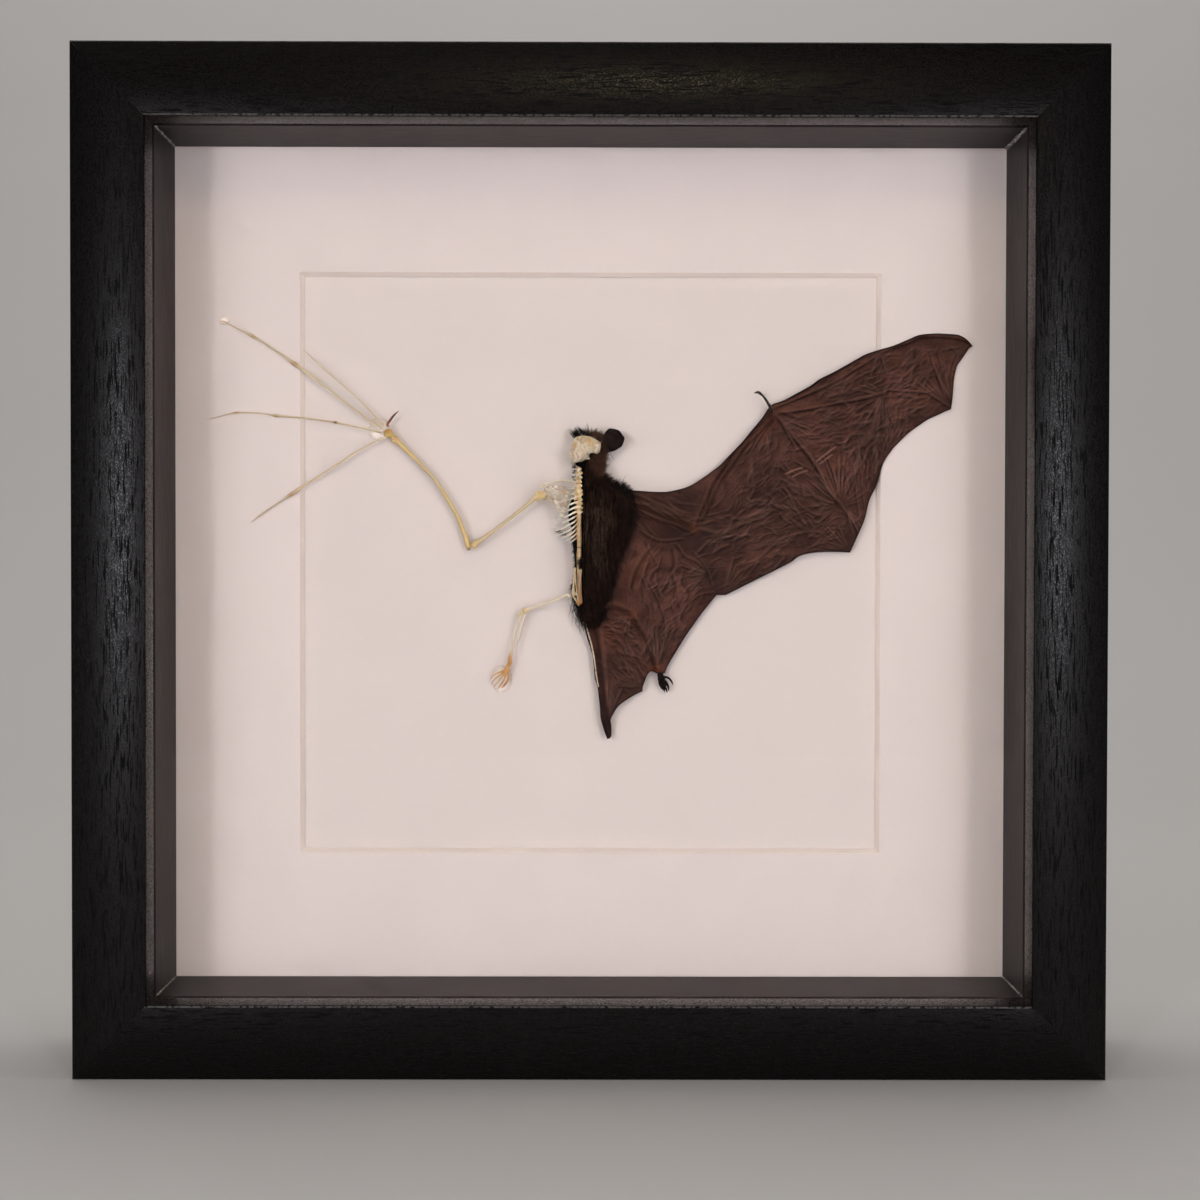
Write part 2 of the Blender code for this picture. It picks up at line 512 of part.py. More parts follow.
def make_hanger(panel, centre, materials):
    """The sawtooth hanger and its rivets, high on the back panel."""
    height = HANGER_Z - CENTRE_Z
    hanger = add_piece("hanger", hanger_shell(), materials["steel"], centre, location=(0, 0, height))
    for side, x in (("left", -RIVET_SPACING / 2), ("right", RIVET_SPACING / 2)):
        spot = (x, 0, height)
        add_piece(f"hanger_rivet_{side}", rivet_shell(), materials["steel"], centre, location=spot, smooth=True)
        drill = cylinder_shell(RIVET_RADIUS + FIT_GAP, FRONT_Y + PANEL_DEPTH - FIT_GAP, FRAME_DEPTH)
        cutter = add_piece(f"rivet_hole_{side}", drill, materials["steel"], centre, location=spot)
        add_boolean(panel, cutter, "DIFFERENCE")
        add_boolean(hanger, cutter, "DIFFERENCE")


def spot(u, v, h):
    """Millimetres on the mat as metres from the specimen's own origin."""
    return Vector((u * MM, -h * MM, v * MM))


def flowing(stations, step):
    """Points about step apart on a smooth curve through the stations. Every number of a station is blended."""
    ends = [stations[0], *stations, stations[-1]]
    points = []
    for before, start, end, after in zip(ends, ends[1:], ends[2:], ends[3:]):
        pieces = max(1, round(math.dist(start[:2], end[:2]) / step))
        for i in range(pieces):
            t = i / pieces
            blend = [
                0.5 * (2 * b + (c - a) * t + (2 * a - 5 * b + 4 * c - d) * t * t + (3 * b - a - 3 * c + d) * t ** 3)
                for a, b, c, d in zip(before, start, end, after)
            ]
            points.append(tuple(blend))
    points.append(tuple(stations[-1]))
    return points


def tube_shell(stations, step, sides):
    """A bone along (u, v, h, radius) stations, with a rounded cap at each end."""
    points = flowing(stations, step)
    line = [Vector(point[:3]) for point in points]
    radii = [point[3] for point in points]
    out = Vector((0, 0, 1))
    rings = []
    for i, (here, radius) in enumerate(zip(line, radii)):
        along = (line[min(i + 1, len(line) - 1)] - line[max(i - 1, 0)]).normalized()
        across = along.cross(out).normalized()
        up = across.cross(along)
        turns = [2 * math.pi * k / sides for k in range(sides)]
        rings.append([here + radius * (math.cos(t) * across + math.sin(t) * up) for t in turns])
    shell = lofted_shell([[spot(*point) for point in ring] for ring in rings], closed_ends=False)
    shell.verts.ensure_lookup_table()
    for first, here, neighbour, radius in (
        (0, line[0], line[1], radii[0]),
        ((len(rings) - 1) * sides, line[-1], line[-2], radii[-1]),
    ):
        cap = shell.verts.new(spot(*(here + (here - neighbour).normalized() * radius * 0.6)))
        shell.verts.ensure_lookup_table()
        for k in range(sides):
            shell.faces.new((shell.verts[first + k], shell.verts[first + (k + 1) % sides], cap))
    return shell


def inside_lobes(point, lobes):
    """Over 1 inside a soft blend of ellipsoids."""
    total = 0.0
    for u, v, h, *radii in lobes:
        reach = sum(((p - c) / r) ** 2 for p, c, r in zip(point, (u, v, h), radii))
        total += math.exp(3.0 * (1.0 - reach))
    return total


def lobed_shell(lobes, segments, rings):
    """A rounded body whose surface lies where the blend of lobes ends, seen from its middle."""
    middle = [sum(lobe[i] for lobe in lobes) / len(lobes) for i in range(3)]
    shell = bmesh.new()
    bmesh.ops.create_uvsphere(shell, u_segments=segments, v_segments=rings, radius=1.0)
    for vert in shell.verts:
        ray = vert.co.normalized()
        near, far = 0.0, 12.0
        for _ in range(24):
            reach = (near + far) / 2
            here = [c + reach * d for c, d in zip(middle, ray)]
            if inside_lobes(here, lobes) > 1.0:
                near = reach
            else:
                far = reach
        vert.co = spot(*[c + near * d for c, d in zip(middle, ray)])
    return shell


def distance_to(path, u, v):
    """Millimetres from a point to a path."""
    best = 1e9
    for (au, av), (bu, bv) in zip(path, path[1:]):
        du, dv = bu - au, bv - av
        t = max(0.0, min(1.0, ((u - au) * du + (v - av) * dv) / (du * du + dv * dv)))
        best = min(best, math.hypot(u - au - t * du, v - av - t * dv))
    return best


def is_inside(outline, u, v):
    """True within a closed outline."""
    inside = False
    for (au, av), (bu, bv) in zip(outline, outline[1:] + outline[:1]):
        if (av > v) != (bv > v) and u < au + (v - av) * (bu - au) / (bv - av):
            inside = not inside
    return inside


def grid_within(outline, spacing):
    """Staggered points inside an outline, clear of its edge."""
    left, right = min(p[0] for p in outline), max(p[0] for p in outline)
    low, high = min(p[1] for p in outline), max(p[1] for p in outline)
    rim = outline + outline[:1]
    points = []
    for row in range(1, int((high - low) / (spacing * 0.866)) + 1):
        v = low + row * spacing * 0.866
        for column in range(int((right - left) / spacing) + 1):
            u = left + (column + 0.5 * (row % 2)) * spacing
            if is_inside(outline, u, v) and distance_to(rim, u, v) > spacing * 0.45:
                points.append((u, v))
    return points


def relief_shell(outline, back, front, inner_points):
    """A closed sheet over an outline. back and front give h at each (u, v)."""
    flat = [Vector(p) for p in outline + inner_points]
    rim = list(range(len(outline)))
    corners, _, triangles, *_ = delaunay_2d_cdt(flat, [], [rim], 1, 1e-4)
    shell = bmesh.new()
    fronts = [shell.verts.new(spot(p.x, p.y, front(p.x, p.y))) for p in corners]
    backs = [shell.verts.new(spot(p.x, p.y, back(p.x, p.y))) for p in corners]
    border = {}
    for a, b, c in triangles:
        shell.faces.new((fronts[a], fronts[b], fronts[c]))
        shell.faces.new((backs[c], backs[b], backs[a]))
        for edge in ((a, b), (b, c), (c, a)):
            if edge[::-1] in border:
                del border[edge[::-1]]
            else:
                border[edge] = True
    for a, b in border:
        shell.faces.new((fronts[b], fronts[a], backs[a], backs[b]))
    return shell


def make_bones(home, materials):
    """The cleaned half of the skeleton."""
    bone = materials["bone"]
    tubes = [
        ("clavicle", CLAVICLE, 2.0), ("humerus", HUMERUS, 1.8), ("forearm", FOREARM, 2.2),
        ("finger_2", FINGER_2, 3.0), ("finger_3", FINGER_3, 2.6), ("finger_4", FINGER_4, 2.6),
        ("finger_5", FINGER_5, 2.8), ("femur", FEMUR, 1.6), ("tibia", TIBIA, 1.8), ("fibula", FIBULA, 2.4),
        ("pelvis", PELVIS, 1.4),
    ]
    for name, stations, step in tubes:
        add_piece(name, tube_shell(stations, step, 7), bone, home, smooth=True)
    add_piece("thumb_bone", tube_shell(THUMB, 0.7, 7), materials["claw"], home, smooth=True)
    add_piece("skull", lobed_shell(SKULL, 18, 12), bone, home, smooth=True)
    add_piece("wrist_bones", lobed_shell(WRIST, 12, 8), bone, home, smooth=True)
    make_spine(home, bone)
    make_foot("foot_bones", ANKLE, BARE_TOES, home, bone)
    edge_u, edge_h = SCAPULA_INNER_EDGE

    def scapula_back(u, v):
        return edge_h + SCAPULA_SLOPE * (u - edge_u)

    def scapula_front(u, v):
        return scapula_back(u, v) + SCAPULA_THICKNESS

    blade = relief_shell(SCAPULA, scapula_back, scapula_front, [SCAPULA_MIDDLE])
    add_piece("scapula", blade, bone, home, smooth=True)


def make_spine(home, bone):
    """The row of vertebrae, with the ribs fused to it."""
    line = flowing(SPINE, VERTEBRA_LENGTH / 2)
    stations = [(*p, VERTEBRA_RADIUS if i % 2 else VERTEBRA_WAIST) for i, p in enumerate(line)]
    spine = add_piece("spine", tube_shell(stations, 10.0, 7), bone, home, smooth=True)
    ribs = bmesh.new()
    for i, reach in enumerate(RIB_REACH):
        root_v = RIB_TOP - RIB_PITCH * i
        root_u, _, root_h = min(line, key=lambda p: abs(p[1] - root_v))
        fall = (RIB_FALL + RIB_FALL_STEP * i) * reach
        stations = [
            (root_u - out * reach, root_v - down * fall, root_h + rise, RIB_RADIUS * thick)
            for out, down, rise, thick in RIB_CURVE
        ]
        rib = tube_shell(stations, 1.3, 6)
        mesh = bpy.data.meshes.new("rib")
        rib.to_mesh(mesh)
        rib.free()
        ribs.from_mesh(mesh)
    guide = add_piece("rib_row", ribs, bone, home)
    add_boolean(spine, guide, "UNION")


def make_foot(name, palm, toes, home, material):
    """A foot with its toes fused on."""
    foot = add_piece(name, lobed_shell(palm, 12, 8), material, home, smooth=True)
    for number, toe in enumerate(toes, start=1):
        guide = add_piece(f"{name}_toe_{number}", tube_shell(toe, 1.2, 6), material, home)
        add_boolean(foot, guide, "UNION")


def make_glue(home, glue):
    """Low clear drops that hold the bare bones to the board."""
    for name, drop in (("glue_wrist", GLUE_WRIST), ("glue_foot", GLUE_FOOT), ("glue_fingertip", GLUE_FINGERTIP)):
        u, v, low, high, along_u, along_v = drop
        turns = [2 * math.pi * k / GLUE_SIDES for k in range(GLUE_SIDES)]
        rings = []
        for wide, tall in GLUE_SECTION:
            h = low + tall * (high - low)
            rings.append([
                spot(u + wide * along_u * math.cos(t), v + wide * along_v * math.sin(t), h) for t in turns
            ])
        add_piece(name, lofted_shell(rings), glue, home, smooth=True)


def crest_height(v):
    """The torso's height at its cut midline."""
    for (low, a), (high, b) in zip(BODY_CREST, BODY_CREST[1:]):
        if low <= v <= high:
            return a + (b - a) * (v - low) / (high - low)
    return BODY_CREST[0][1]


def add_lock(shell, root, tip):
    """A pointed lock of fur from its root to its tip."""
    along = (Vector(tip) - Vector(root)).normalized()
    across = along.cross(Vector((0, 0, 1))).normalized()
    up = across.cross(along)
    turns = [2 * math.pi * k / 5 for k in range(5)]
    ring = [Vector(root) + LOCK_WIDTH * (math.cos(t) * across + math.sin(t) * up) for t in turns]
    corners = [shell.verts.new(spot(*point)) for point in ring]
    point = shell.verts.new(spot(*tip))
    shell.faces.new(reversed(corners))
    for here, following in zip(corners, corners[1:] + corners[:1]):
        shell.faces.new((here, following, point))


def add_fringe(shell, path, lift, front):
    """Locks that point out over a margin that runs anticlockwise, leaning towards the tail."""
    margin = flowing(path, LOCK_SPACING)
    for (au, av), (bu, bv) in zip(margin, margin[1:]):
        length = math.dist((au, av), (bu, bv))
        out = ((bv - av) / length, -(bu - au) / length)
        u, v = (au + bu) / 2, (av + bv) / 2
        root = (u - out[0] * LOCK_INSET, v - out[1] * LOCK_INSET)
        lean = -0.5 if v < SHOULDER_V else 0.3
        tip = (root[0] + out[0] * LOCK_LENGTH, root[1] + (out[1] + lean) * LOCK_LENGTH)
        add_lock(shell, (*root, front(*root) - LOCK_ROOT), (*tip, front(*root) + lift))


def make_body(home, materials):
    """The furred torso and neck, and the skin under the skull."""
    side = flowing(BODY_SIDE + BODY_NECK, BODY_STEP)
    head = flowing(BODY_HEAD, BODY_STEP)
    shelf = flowing(BODY_SHELF, BODY_STEP)
    outline = side + head[1:] + [(BODY_CUT, v) for v in BODY_CUT_STATIONS] + shelf + BODY_RUMP
    rim_right = [BODY_RUMP[-1]] + side
    head_v = BODY_CREST[-2][0]

    def front(u, v):
        if v > head_v:
            return BODY_CREST[-1][1]
        if u < BODY_CUT - CUT_WALL / 2:
            return BODY_SHELF_HEIGHT
        rise = min(1.0, distance_to(rim_right, u, v) / BODY_ROUNDING)
        return BODY_EDGE_HEIGHT + (crest_height(v) - BODY_EDGE_HEIGHT) * math.sin(rise * math.pi / 2)

    grid = grid_within(outline, BODY_SPACING)
    inner = [(u, v) for u, v in grid if abs(u - BODY_CUT) > CUT_CLEARANCE or v > BODY_CUT_STATIONS[0]]
    v = BODY_CUT_STATIONS[-1] - CUT_PITCH / 2
    while v > BODY_RUMP[0][1] + CUT_PITCH / 4:
        inner += [(BODY_CUT, v), (BODY_CUT - CUT_WALL, v)]
        v -= CUT_PITCH
    shell = relief_shell(outline, lambda u, v: BODY_BACK, front, inner)
    body = add_piece("furred_body", shell, materials["fur"], home, smooth=True)

    locks = bmesh.new()
    for path, lift in ((side[3:], SIDE_LIFT), (head[2:-2], LOW_LIFT), (shelf[1:-2], LOW_LIFT)):
        add_fringe(locks, path, lift, front)
    for u, v in grid_within(outline, 1.6 * LOCK_SPACING):
        if u > BODY_CUT + LOCK_INSET and v < BODY_NECK[1][1] and distance_to(outline, u, v) > LOCK_MARGIN:
            tip = (u + LOCK_INSET / 3, v - LOCK_LENGTH)
            add_lock(locks, (u, v, front(u, v) - LOCK_ROOT), (*tip, front(*tip) + BACK_LIFT))
    guide = add_piece("fur_locks", locks, materials["fur"], home)
    add_boolean(body, guide, "UNION")
    make_ear(home, materials["ear_skin"])


def make_ear(home, material):
    """The ear, a plate that tilts forward away from the head."""
    root_u, root_h = EAR_ROOT

    def front(u, v):
        return root_h + EAR_SLOPE * (u - root_u)

    def back(u, v):
        return front(u, v) - EAR_THICKNESS

    outline = flowing(EAR + EAR[:1], 1.4)[:-1]
    add_piece("ear", relief_shell(outline, back, front, grid_within(outline, 1.6)), material, home, smooth=True)


def skin_height(u, v):
    """The back of the wing skin: close over the mat far out, higher where it leaves the body."""
    near_body = math.exp(-((u - 9.0) / 14.0) ** 2)
    wave = 0.12 * math.sin(u * 0.21 + 0.6) * math.cos(v * 0.17)
    return 0.5 + 0.6 * near_body + wave


def ridged(ridges):
    """The front of the skin, with ridges over the limbs."""

    def front(u, v):
        raised = [height * math.exp(-((distance_to(path, u, v) / width) ** 2)) for path, height, width in ridges]
        return skin_height(u, v) + SKIN_THICKNESS + max(raised)

    return front


def ridge_points(ridges, outline):
    """Points along each ridge and beside it, inside the outline."""
    rim = outline + outline[:1]
    points = []
    for path, _, width in ridges:
        line = flowing(path, RIDGE_STEP)
        for (au, av), (bu, bv) in zip(line, line[1:]):
            length = math.dist((au, av), (bu, bv))
            across = (-(bv - av) / length, (bu - au) / length)
            for shift in (0.0, -RIDGE_FOOT * width, RIDGE_FOOT * width):
                u, v = au + shift * across[0], av + shift * across[1]
                if is_inside(outline, u, v) and distance_to(rim, u, v) > 0.8:
                    points.append((u, v))
    return points


def skin_piece(name, outline, ridges, home, material):
    """A sheet of skin with the limbs under it."""
    inner = ridge_points(ridges, outline)
    for u, v in grid_within(outline, SKIN_SPACING):
        if all(math.dist((u, v), other) > SKIN_SPACING * 0.5 for other in inner):
            inner.append((u, v))
    add_piece(name, relief_shell(outline, skin_height, ridged(ridges), inner), material, home, smooth=True)


def make_skin(home, materials):
    """The wing, the tail membrane, and the thumb and foot that stand out from them."""
    skin = materials["wing_skin"]
    gap_u, gap_v = SKIN_BODY_GAP
    wing = []
    for edge in (WING_LEADING, WING_HAND, WING_TIP_EDGE, WING_SCALLOP_4, WING_SCALLOP_5, WING_TO_ANKLE):
        wing += flowing(edge, SKIN_EDGE_STEP)
    wing += WING_ALONG_LEG + [(u + gap_u, v + gap_v) for u, v in BODY_SIDE[2:]]
    skin_piece("wing", wing, WING_RIDGES, home, skin)
    tail = TAIL_EDGE + TAIL_MEMBRANE_EDGE + CALCAR_GAP + LEG_OUTSIDE + TAIL_ROOT
    skin_piece("tail_membrane", tail, TAIL_RIDGES, home, skin)
    add_piece("wing_thumb", tube_shell(WING_THUMB, 0.8, 7), materials["claw"], home, smooth=True)
    make_foot("hind_foot", FOOT_PALM, FURRED_TOES, home, materials["ear_skin"])


def main():
    """Build the whole object."""
    clear_scene()
    materials = {
        "frame_foil": make_material("frame_foil", (0.012, 0.011, 0.012), 0.42),
        "liner_foil": make_material("liner_foil", (0.045, 0.036, 0.033), 0.5),
        "glass": make_material("glass", (1.0, 1.0, 1.0), 0.0, clear=1.0),
        "mat_board": make_material("mat_board", (0.68, 0.60, 0.55), 0.9),
        "backing_card": make_material("backing_card", (0.73, 0.62, 0.57), 0.9),
        "hardboard": make_material("hardboard", (0.22, 0.13, 0.075), 0.75),
        "steel": make_material("steel", (0.55, 0.55, 0.54), 0.35, metallic=1.0),
        "bone": make_material("bone", (0.70, 0.55, 0.30), 0.45),
        "claw": make_material("claw", (0.10, 0.02, 0.012), 0.3),
        "fur": make_material("fur", (0.02, 0.014, 0.012), 0.9),
        "ear_skin": make_material("ear_skin", (0.02, 0.015, 0.014), 0.6),
        "wing_skin": make_material("wing_skin", (0.08, 0.04, 0.032), 0.45),
        "glue": make_material("glue", (0.95, 0.93, 0.88), 0.05, clear=0.95),
    }
    root = add_empty("framed_bat", (0, 0, 0))
    make_frame(root, materials)
    home = add_empty("specimen", (0, FRONT_Y + MAT_FACE_DEPTH, CENTRE_Z))
    home.parent = root
    make_bones(home, materials)
    make_glue(home, materials["glue"])
    make_body(home, materials)
    make_skin(home, materials)


main()
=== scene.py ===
"""The looks of a bat in a box frame, one half a cleaned skeleton, the other half with its fur and wing skin.

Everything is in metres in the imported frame, apart from the specimen's landmarks. Those are millimetres on the
face of the mat: u to the right and v up from the middle of the window, and h out towards the glass.
"""

import math

import bmesh
import bpy
import numpy as np
from mathutils import Matrix, Vector
from mathutils.geometry import delaunay_2d_cdt
from mathutils.kdtree import KDTree


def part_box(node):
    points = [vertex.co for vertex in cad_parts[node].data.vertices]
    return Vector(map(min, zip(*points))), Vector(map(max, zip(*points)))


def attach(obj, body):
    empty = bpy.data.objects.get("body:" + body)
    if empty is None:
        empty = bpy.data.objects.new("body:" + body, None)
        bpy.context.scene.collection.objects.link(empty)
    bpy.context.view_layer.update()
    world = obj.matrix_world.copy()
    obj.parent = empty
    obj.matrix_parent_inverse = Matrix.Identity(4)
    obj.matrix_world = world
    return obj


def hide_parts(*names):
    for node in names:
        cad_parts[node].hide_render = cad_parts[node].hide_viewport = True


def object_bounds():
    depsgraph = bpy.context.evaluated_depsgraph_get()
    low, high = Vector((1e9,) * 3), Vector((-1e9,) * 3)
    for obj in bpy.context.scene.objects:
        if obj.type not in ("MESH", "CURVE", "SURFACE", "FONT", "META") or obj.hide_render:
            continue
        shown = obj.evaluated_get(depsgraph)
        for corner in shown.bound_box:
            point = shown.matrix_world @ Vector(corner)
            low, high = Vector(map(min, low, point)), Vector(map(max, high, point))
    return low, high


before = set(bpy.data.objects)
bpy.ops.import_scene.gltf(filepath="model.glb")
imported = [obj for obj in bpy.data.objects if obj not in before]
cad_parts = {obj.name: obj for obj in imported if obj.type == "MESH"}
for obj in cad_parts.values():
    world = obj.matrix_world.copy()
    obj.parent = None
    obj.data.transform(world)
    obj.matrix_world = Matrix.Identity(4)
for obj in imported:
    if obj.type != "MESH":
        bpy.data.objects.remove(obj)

CAD_LOW, CAD_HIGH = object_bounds()
MM = 0.001
FIT_GAP = 0.0003

# The frame's own places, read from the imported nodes
HALF = CAD_HIGH.x
FRONT_Y = CAD_LOW.y
DEPTH = CAD_HIGH.y - CAD_LOW.y
MIDDLE_Z = (CAD_LOW.z + CAD_HIGH.z) / 2
FACE_WIDTH = CAD_HIGH.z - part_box("frame_rail_top")[0].z
REBATE_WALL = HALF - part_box("back_panel")[1].x - FIT_GAP
LIP_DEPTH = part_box("glass_pane")[0].y - FRONT_Y - FIT_GAP
LINER_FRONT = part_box("liner_top")[0].y - FRONT_Y
LINER_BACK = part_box("liner_top")[1].y - FRONT_Y
MAT_FACE_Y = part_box("mat_board")[0].y
CARD_H = (MAT_FACE_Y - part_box("backing_card")[0].y) / MM
MAT_WINDOW_HALF = 0.075
OPENING_HALF = HALF - FACE_WIDTH
SIDES = ("top", "right", "bottom", "left")
RAIL_SOFTENING = 0.0006
RAIL_BACK_BEVEL = 0.0003
RAIL_MITRE_GAP = 0.00001
LINER_BEVEL = 0.0002
LINER_MITRE_GAP = 0.00004
SHARP_ANGLE = 35
MITRE_GLUE_SIZE = 0.00052
MITRE_GLUE_ROWS = 60
MITRE_GLUE_PROUD = 0.00002

# Camera at the photograph's viewing angle, angles in degrees
CAMERA_PLACE = (0.00094, -0.4725, 0.12316)
CAMERA_PITCH = 0.902
CAMERA_YAW = 0.185
CAMERA_ROLL = 0.097
CAMERA_LENS = 56.09
CAMERA_SENSOR = 36.0

# Lamps: name, place, what it looks at, (width, height), power, colour
LAMPS = [
    ("key", (0.06, -1.25, 0.7), (0.0, 0.0, 0.13), (0.045, 0.045), 0.92, (1.0, 0.8, 0.5)),
    ("top_fill", (-0.2, -0.85, 1.15), (0.0, 0.0, 0.12), (0.7, 0.7), 0.45, (1.0, 0.92, 0.84)),
    ("left_window", (-0.403, -1.05, 0.16), (0.0, 0.0, 0.125), (0.09, 0.22), 1.88, (0.96, 0.93, 1.0)),
    ("right_window", (0.403, -1.05, 0.16), (0.0, 0.0, 0.125), (0.09, 0.22), 1.78, (0.96, 0.93, 1.0)),
    ("backdrop_light", (0.0, 0.2, 1.6), (0.0, 0.75, 0.1), (1.2, 0.8), 9.0, (1.0, 0.97, 0.94)),
]
SKY_COLOUR = (0.93, 0.95, 1.0, 1.0)
SKY_STRENGTH = 0.09
FLOOR_HALF_WIDTH = 2.4
FLOOR_FRONT_Y = -0.8
FLOOR_BEND_Y = 0.55
FLOOR_BEND_RADIUS = 0.5
FLOOR_TOP_Z = 2.4

# Bones of the bare half: (u, v, h, radius) along each
CLAVICLE = [
    (-12.8, 19.2, 4.6, 0.3), (-11.6, 20.2, 4.6, 0.3), (-9.6, 20.9, 4.5, 0.33), (-7.5, 21.2, 4.2, 0.33),
    (-5.5, 21.0, 3.7, 0.32), (-4.3, 20.6, 3.3, 0.3),
]
HUMERUS = [
    (-12.5, 17.3, 4.2, 0.75), (-13.8, 17.0, 4.1, 0.7), (-16.0, 15.2, 3.7, 0.5), (-20.0, 12.0, 3.1, 0.47),
    (-25.1, 8.1, 2.3, 0.5), (-28.4, 5.8, 1.7, 0.62), (-29.9, 4.95, 1.5, 0.7),
]
HUMERUS_ENDS = [
    (-12.7, 17.5, 4.2, 1.0), (-13.6, 17.9, 4.1, 0.65), (-13.4, 16.4, 4.0, 0.65), (-11.8, 17.9, 4.4, 0.75),
    (-11.9, 16.9, 4.4, 0.62), (-14.5, 16.8, 4.0, 0.62), (-29.6, 5.5, 1.5, 0.62), (-30.1, 4.7, 1.5, 0.72),
    (-29.7, 4.3, 1.4, 0.55),
]
FOREARM = [
    (-31.1, 3.5, 1.4, 0.35), (-31.6, 4.7, 1.4, 0.72), (-32.0, 6.4, 1.4, 0.7), (-32.9, 8.6, 1.4, 0.6),
    (-33.9, 11.3, 1.4, 0.57), (-35.9, 15.0, 1.4, 0.56), (-38.1, 18.5, 1.4, 0.55), (-40.0, 21.5, 1.4, 0.55),
    (-42.6, 24.2, 1.4, 0.55), (-45.0, 26.8, 1.4, 0.58), (-47.1, 28.8, 1.4, 0.62), (-48.7, 30.4, 1.4, 0.68),
    (-50.2, 31.8, 1.4, 0.72),
]
FOREARM_ENDS = [
    (-31.3, 4.2, 1.5, 0.72), (-31.9, 5.2, 1.5, 0.68), (-50.2, 32.1, 1.4, 0.78), (-50.7, 31.5, 1.4, 0.62),
]
ULNA = [
    (-31.4, 3.4, 1.5, 0.34), (-31.9, 4.9, 1.8, 0.34), (-32.6, 8.0, 1.9, 0.26), (-34.2, 12.6, 1.8, 0.2),
    (-37.4, 18.0, 1.7, 0.14),
]
THUMB = [
    (-52.2, 35.2, 1.5, 0.36), (-52.2, 35.8, 1.7, 0.36), (-51.6, 36.6, 1.9, 0.34), (-50.6, 37.9, 2.1, 0.26),
    (-49.3, 39.1, 2.0, 0.08),
]
FINGER_2 = [
    (-53.3, 35.5, 1.2, 0.28), (-55.3, 37.6, 1.1, 0.27), (-57.5, 40.0, 1.0, 0.24), (-59.2, 41.7, 1.0, 0.22),
    (-64.0, 46.0, 0.9, 0.21), (-70.0, 51.2, 0.85, 0.21), (-74.0, 55.0, 0.85, 0.1),
]
FINGER_3 = [
    (-53.75, 34.6, 1.1, 0.32), (-57.3, 37.0, 1.1, 0.3), (-60.0, 39.0, 1.0, 0.27), (-63.6, 41.7, 1.0, 0.28),
    (-70.0, 46.7, 0.95, 0.33), (-74.3, 49.9, 0.95, 0.38), (-76.2, 51.2, 1.0, 0.56),
    (-77.6, 52.2, 0.95, 0.34), (-80.0, 54.0, 0.9, 0.25), (-84.9, 57.1, 0.95, 0.25), (-86.9, 58.25, 1.0, 0.4),
    (-88.4, 59.1, 1.0, 0.29), (-90.0, 59.9, 1.1, 0.2), (-93.9, 61.8, 1.25, 0.18), (-95.2, 62.2, 1.3, 0.12),
]
FINGER_4 = [
    (-53.9, 33.65, 1.1, 0.26), (-57.3, 34.5, 1.1, 0.23), (-60.0, 35.0, 1.0, 0.22), (-62.8, 35.6, 1.0, 0.22),
    (-65.7, 36.2, 1.0, 0.32), (-68.0, 36.6, 0.9, 0.23), (-74.4, 37.4, 0.85, 0.23), (-79.6, 37.8, 0.9, 0.29),
    (-81.0, 37.85, 0.9, 0.4), (-82.6, 38.15, 0.9, 0.24), (-85.9, 38.6, 0.85, 0.18),
    (-90.0, 38.75, 0.85, 0.2), (-91.4, 38.7, 0.9, 0.29), (-93.0, 38.4, 0.85, 0.19), (-97.5, 37.2, 0.8, 0.13),
    (-98.8, 37.1, 0.8, 0.09),
]
FINGER_5 = [
    (-53.55, 32.45, 1.1, 0.26), (-55.9, 31.1, 1.1, 0.24), (-60.0, 28.8, 1.0, 0.25), (-65.0, 25.6, 1.0, 0.27),
    (-70.0, 22.35, 0.95, 0.29), (-74.0, 19.85, 0.95, 0.31), (-76.6, 17.95, 1.0, 0.48),
    (-78.2, 17.0, 0.95, 0.34), (-79.8, 15.9, 0.9, 0.23), (-84.7, 12.7, 0.85, 0.18), (-87.4, 10.5, 0.8, 0.11),
]
FEMUR = [
    (-5.4, -8.0, 4.0, 0.55), (-6.6, -8.4, 3.8, 0.42), (-10.0, -9.8, 3.0, 0.4), (-14.0, -11.1, 2.2, 0.42),
    (-16.0, -11.9, 1.9, 0.56), (-16.9, -12.25, 1.8, 0.58),
]
FEMUR_ENDS = [(-16.5, -12.5, 1.8, 0.62), (-17.0, -11.9, 1.8, 0.56), (-5.5, -8.3, 4.0, 0.6)]
TIBIA = [
    (-17.95, -13.35, 1.6, 0.56), (-18.4, -14.8, 1.5, 0.4), (-19.4, -18.2, 1.4, 0.32),
    (-20.2, -22.0, 1.3, 0.36), (-20.6, -24.2, 1.3, 0.52),
]
TIBIA_ENDS = [
    (-17.3, -12.75, 1.7, 0.45), (-17.6, -13.1, 1.6, 0.5), (-18.2, -13.2, 1.6, 0.5), (-20.7, -24.4, 1.3, 0.6),
]
FIBULA = [
    (-16.85, -13.7, 1.5, 0.26), (-17.7, -16.5, 1.4, 0.2), (-18.5, -19.2, 1.3, 0.2),
    (-19.1, -21.4, 1.3, 0.15),
]
PELVIS = [
    (-3.9, -1.2, 5.6, 0.34), (-4.1, -3.5, 5.2, 0.26), (-4.3, -6.0, 4.6, 0.32), (-4.3, -7.8, 4.2, 0.46),
    (-3.7, -9.4, 4.0, 0.28), (-2.9, -10.8, 3.8, 0.25),
]
HIP_BRIDGE = [(-4.2, -7.4, 4.3, 0.36), (-3.4, -8.2, 4.6, 0.3)]
HIP_ARCH = [
    (-3.9, -2.6, 5.7, 0.22), (-3.7, -5.2, 5.5, 0.17), (-3.4, -8.0, 5.2, 0.17), (-2.9, -10.4, 4.5, 0.2),
]
SACRUM = [(-2.5, -1.6, 6.1, 0.42), (-2.7, -4.0, 5.8, 0.45), (-2.9, -7.0, 5.2, 0.42), (-2.7, -9.6, 4.6, 0.3)]
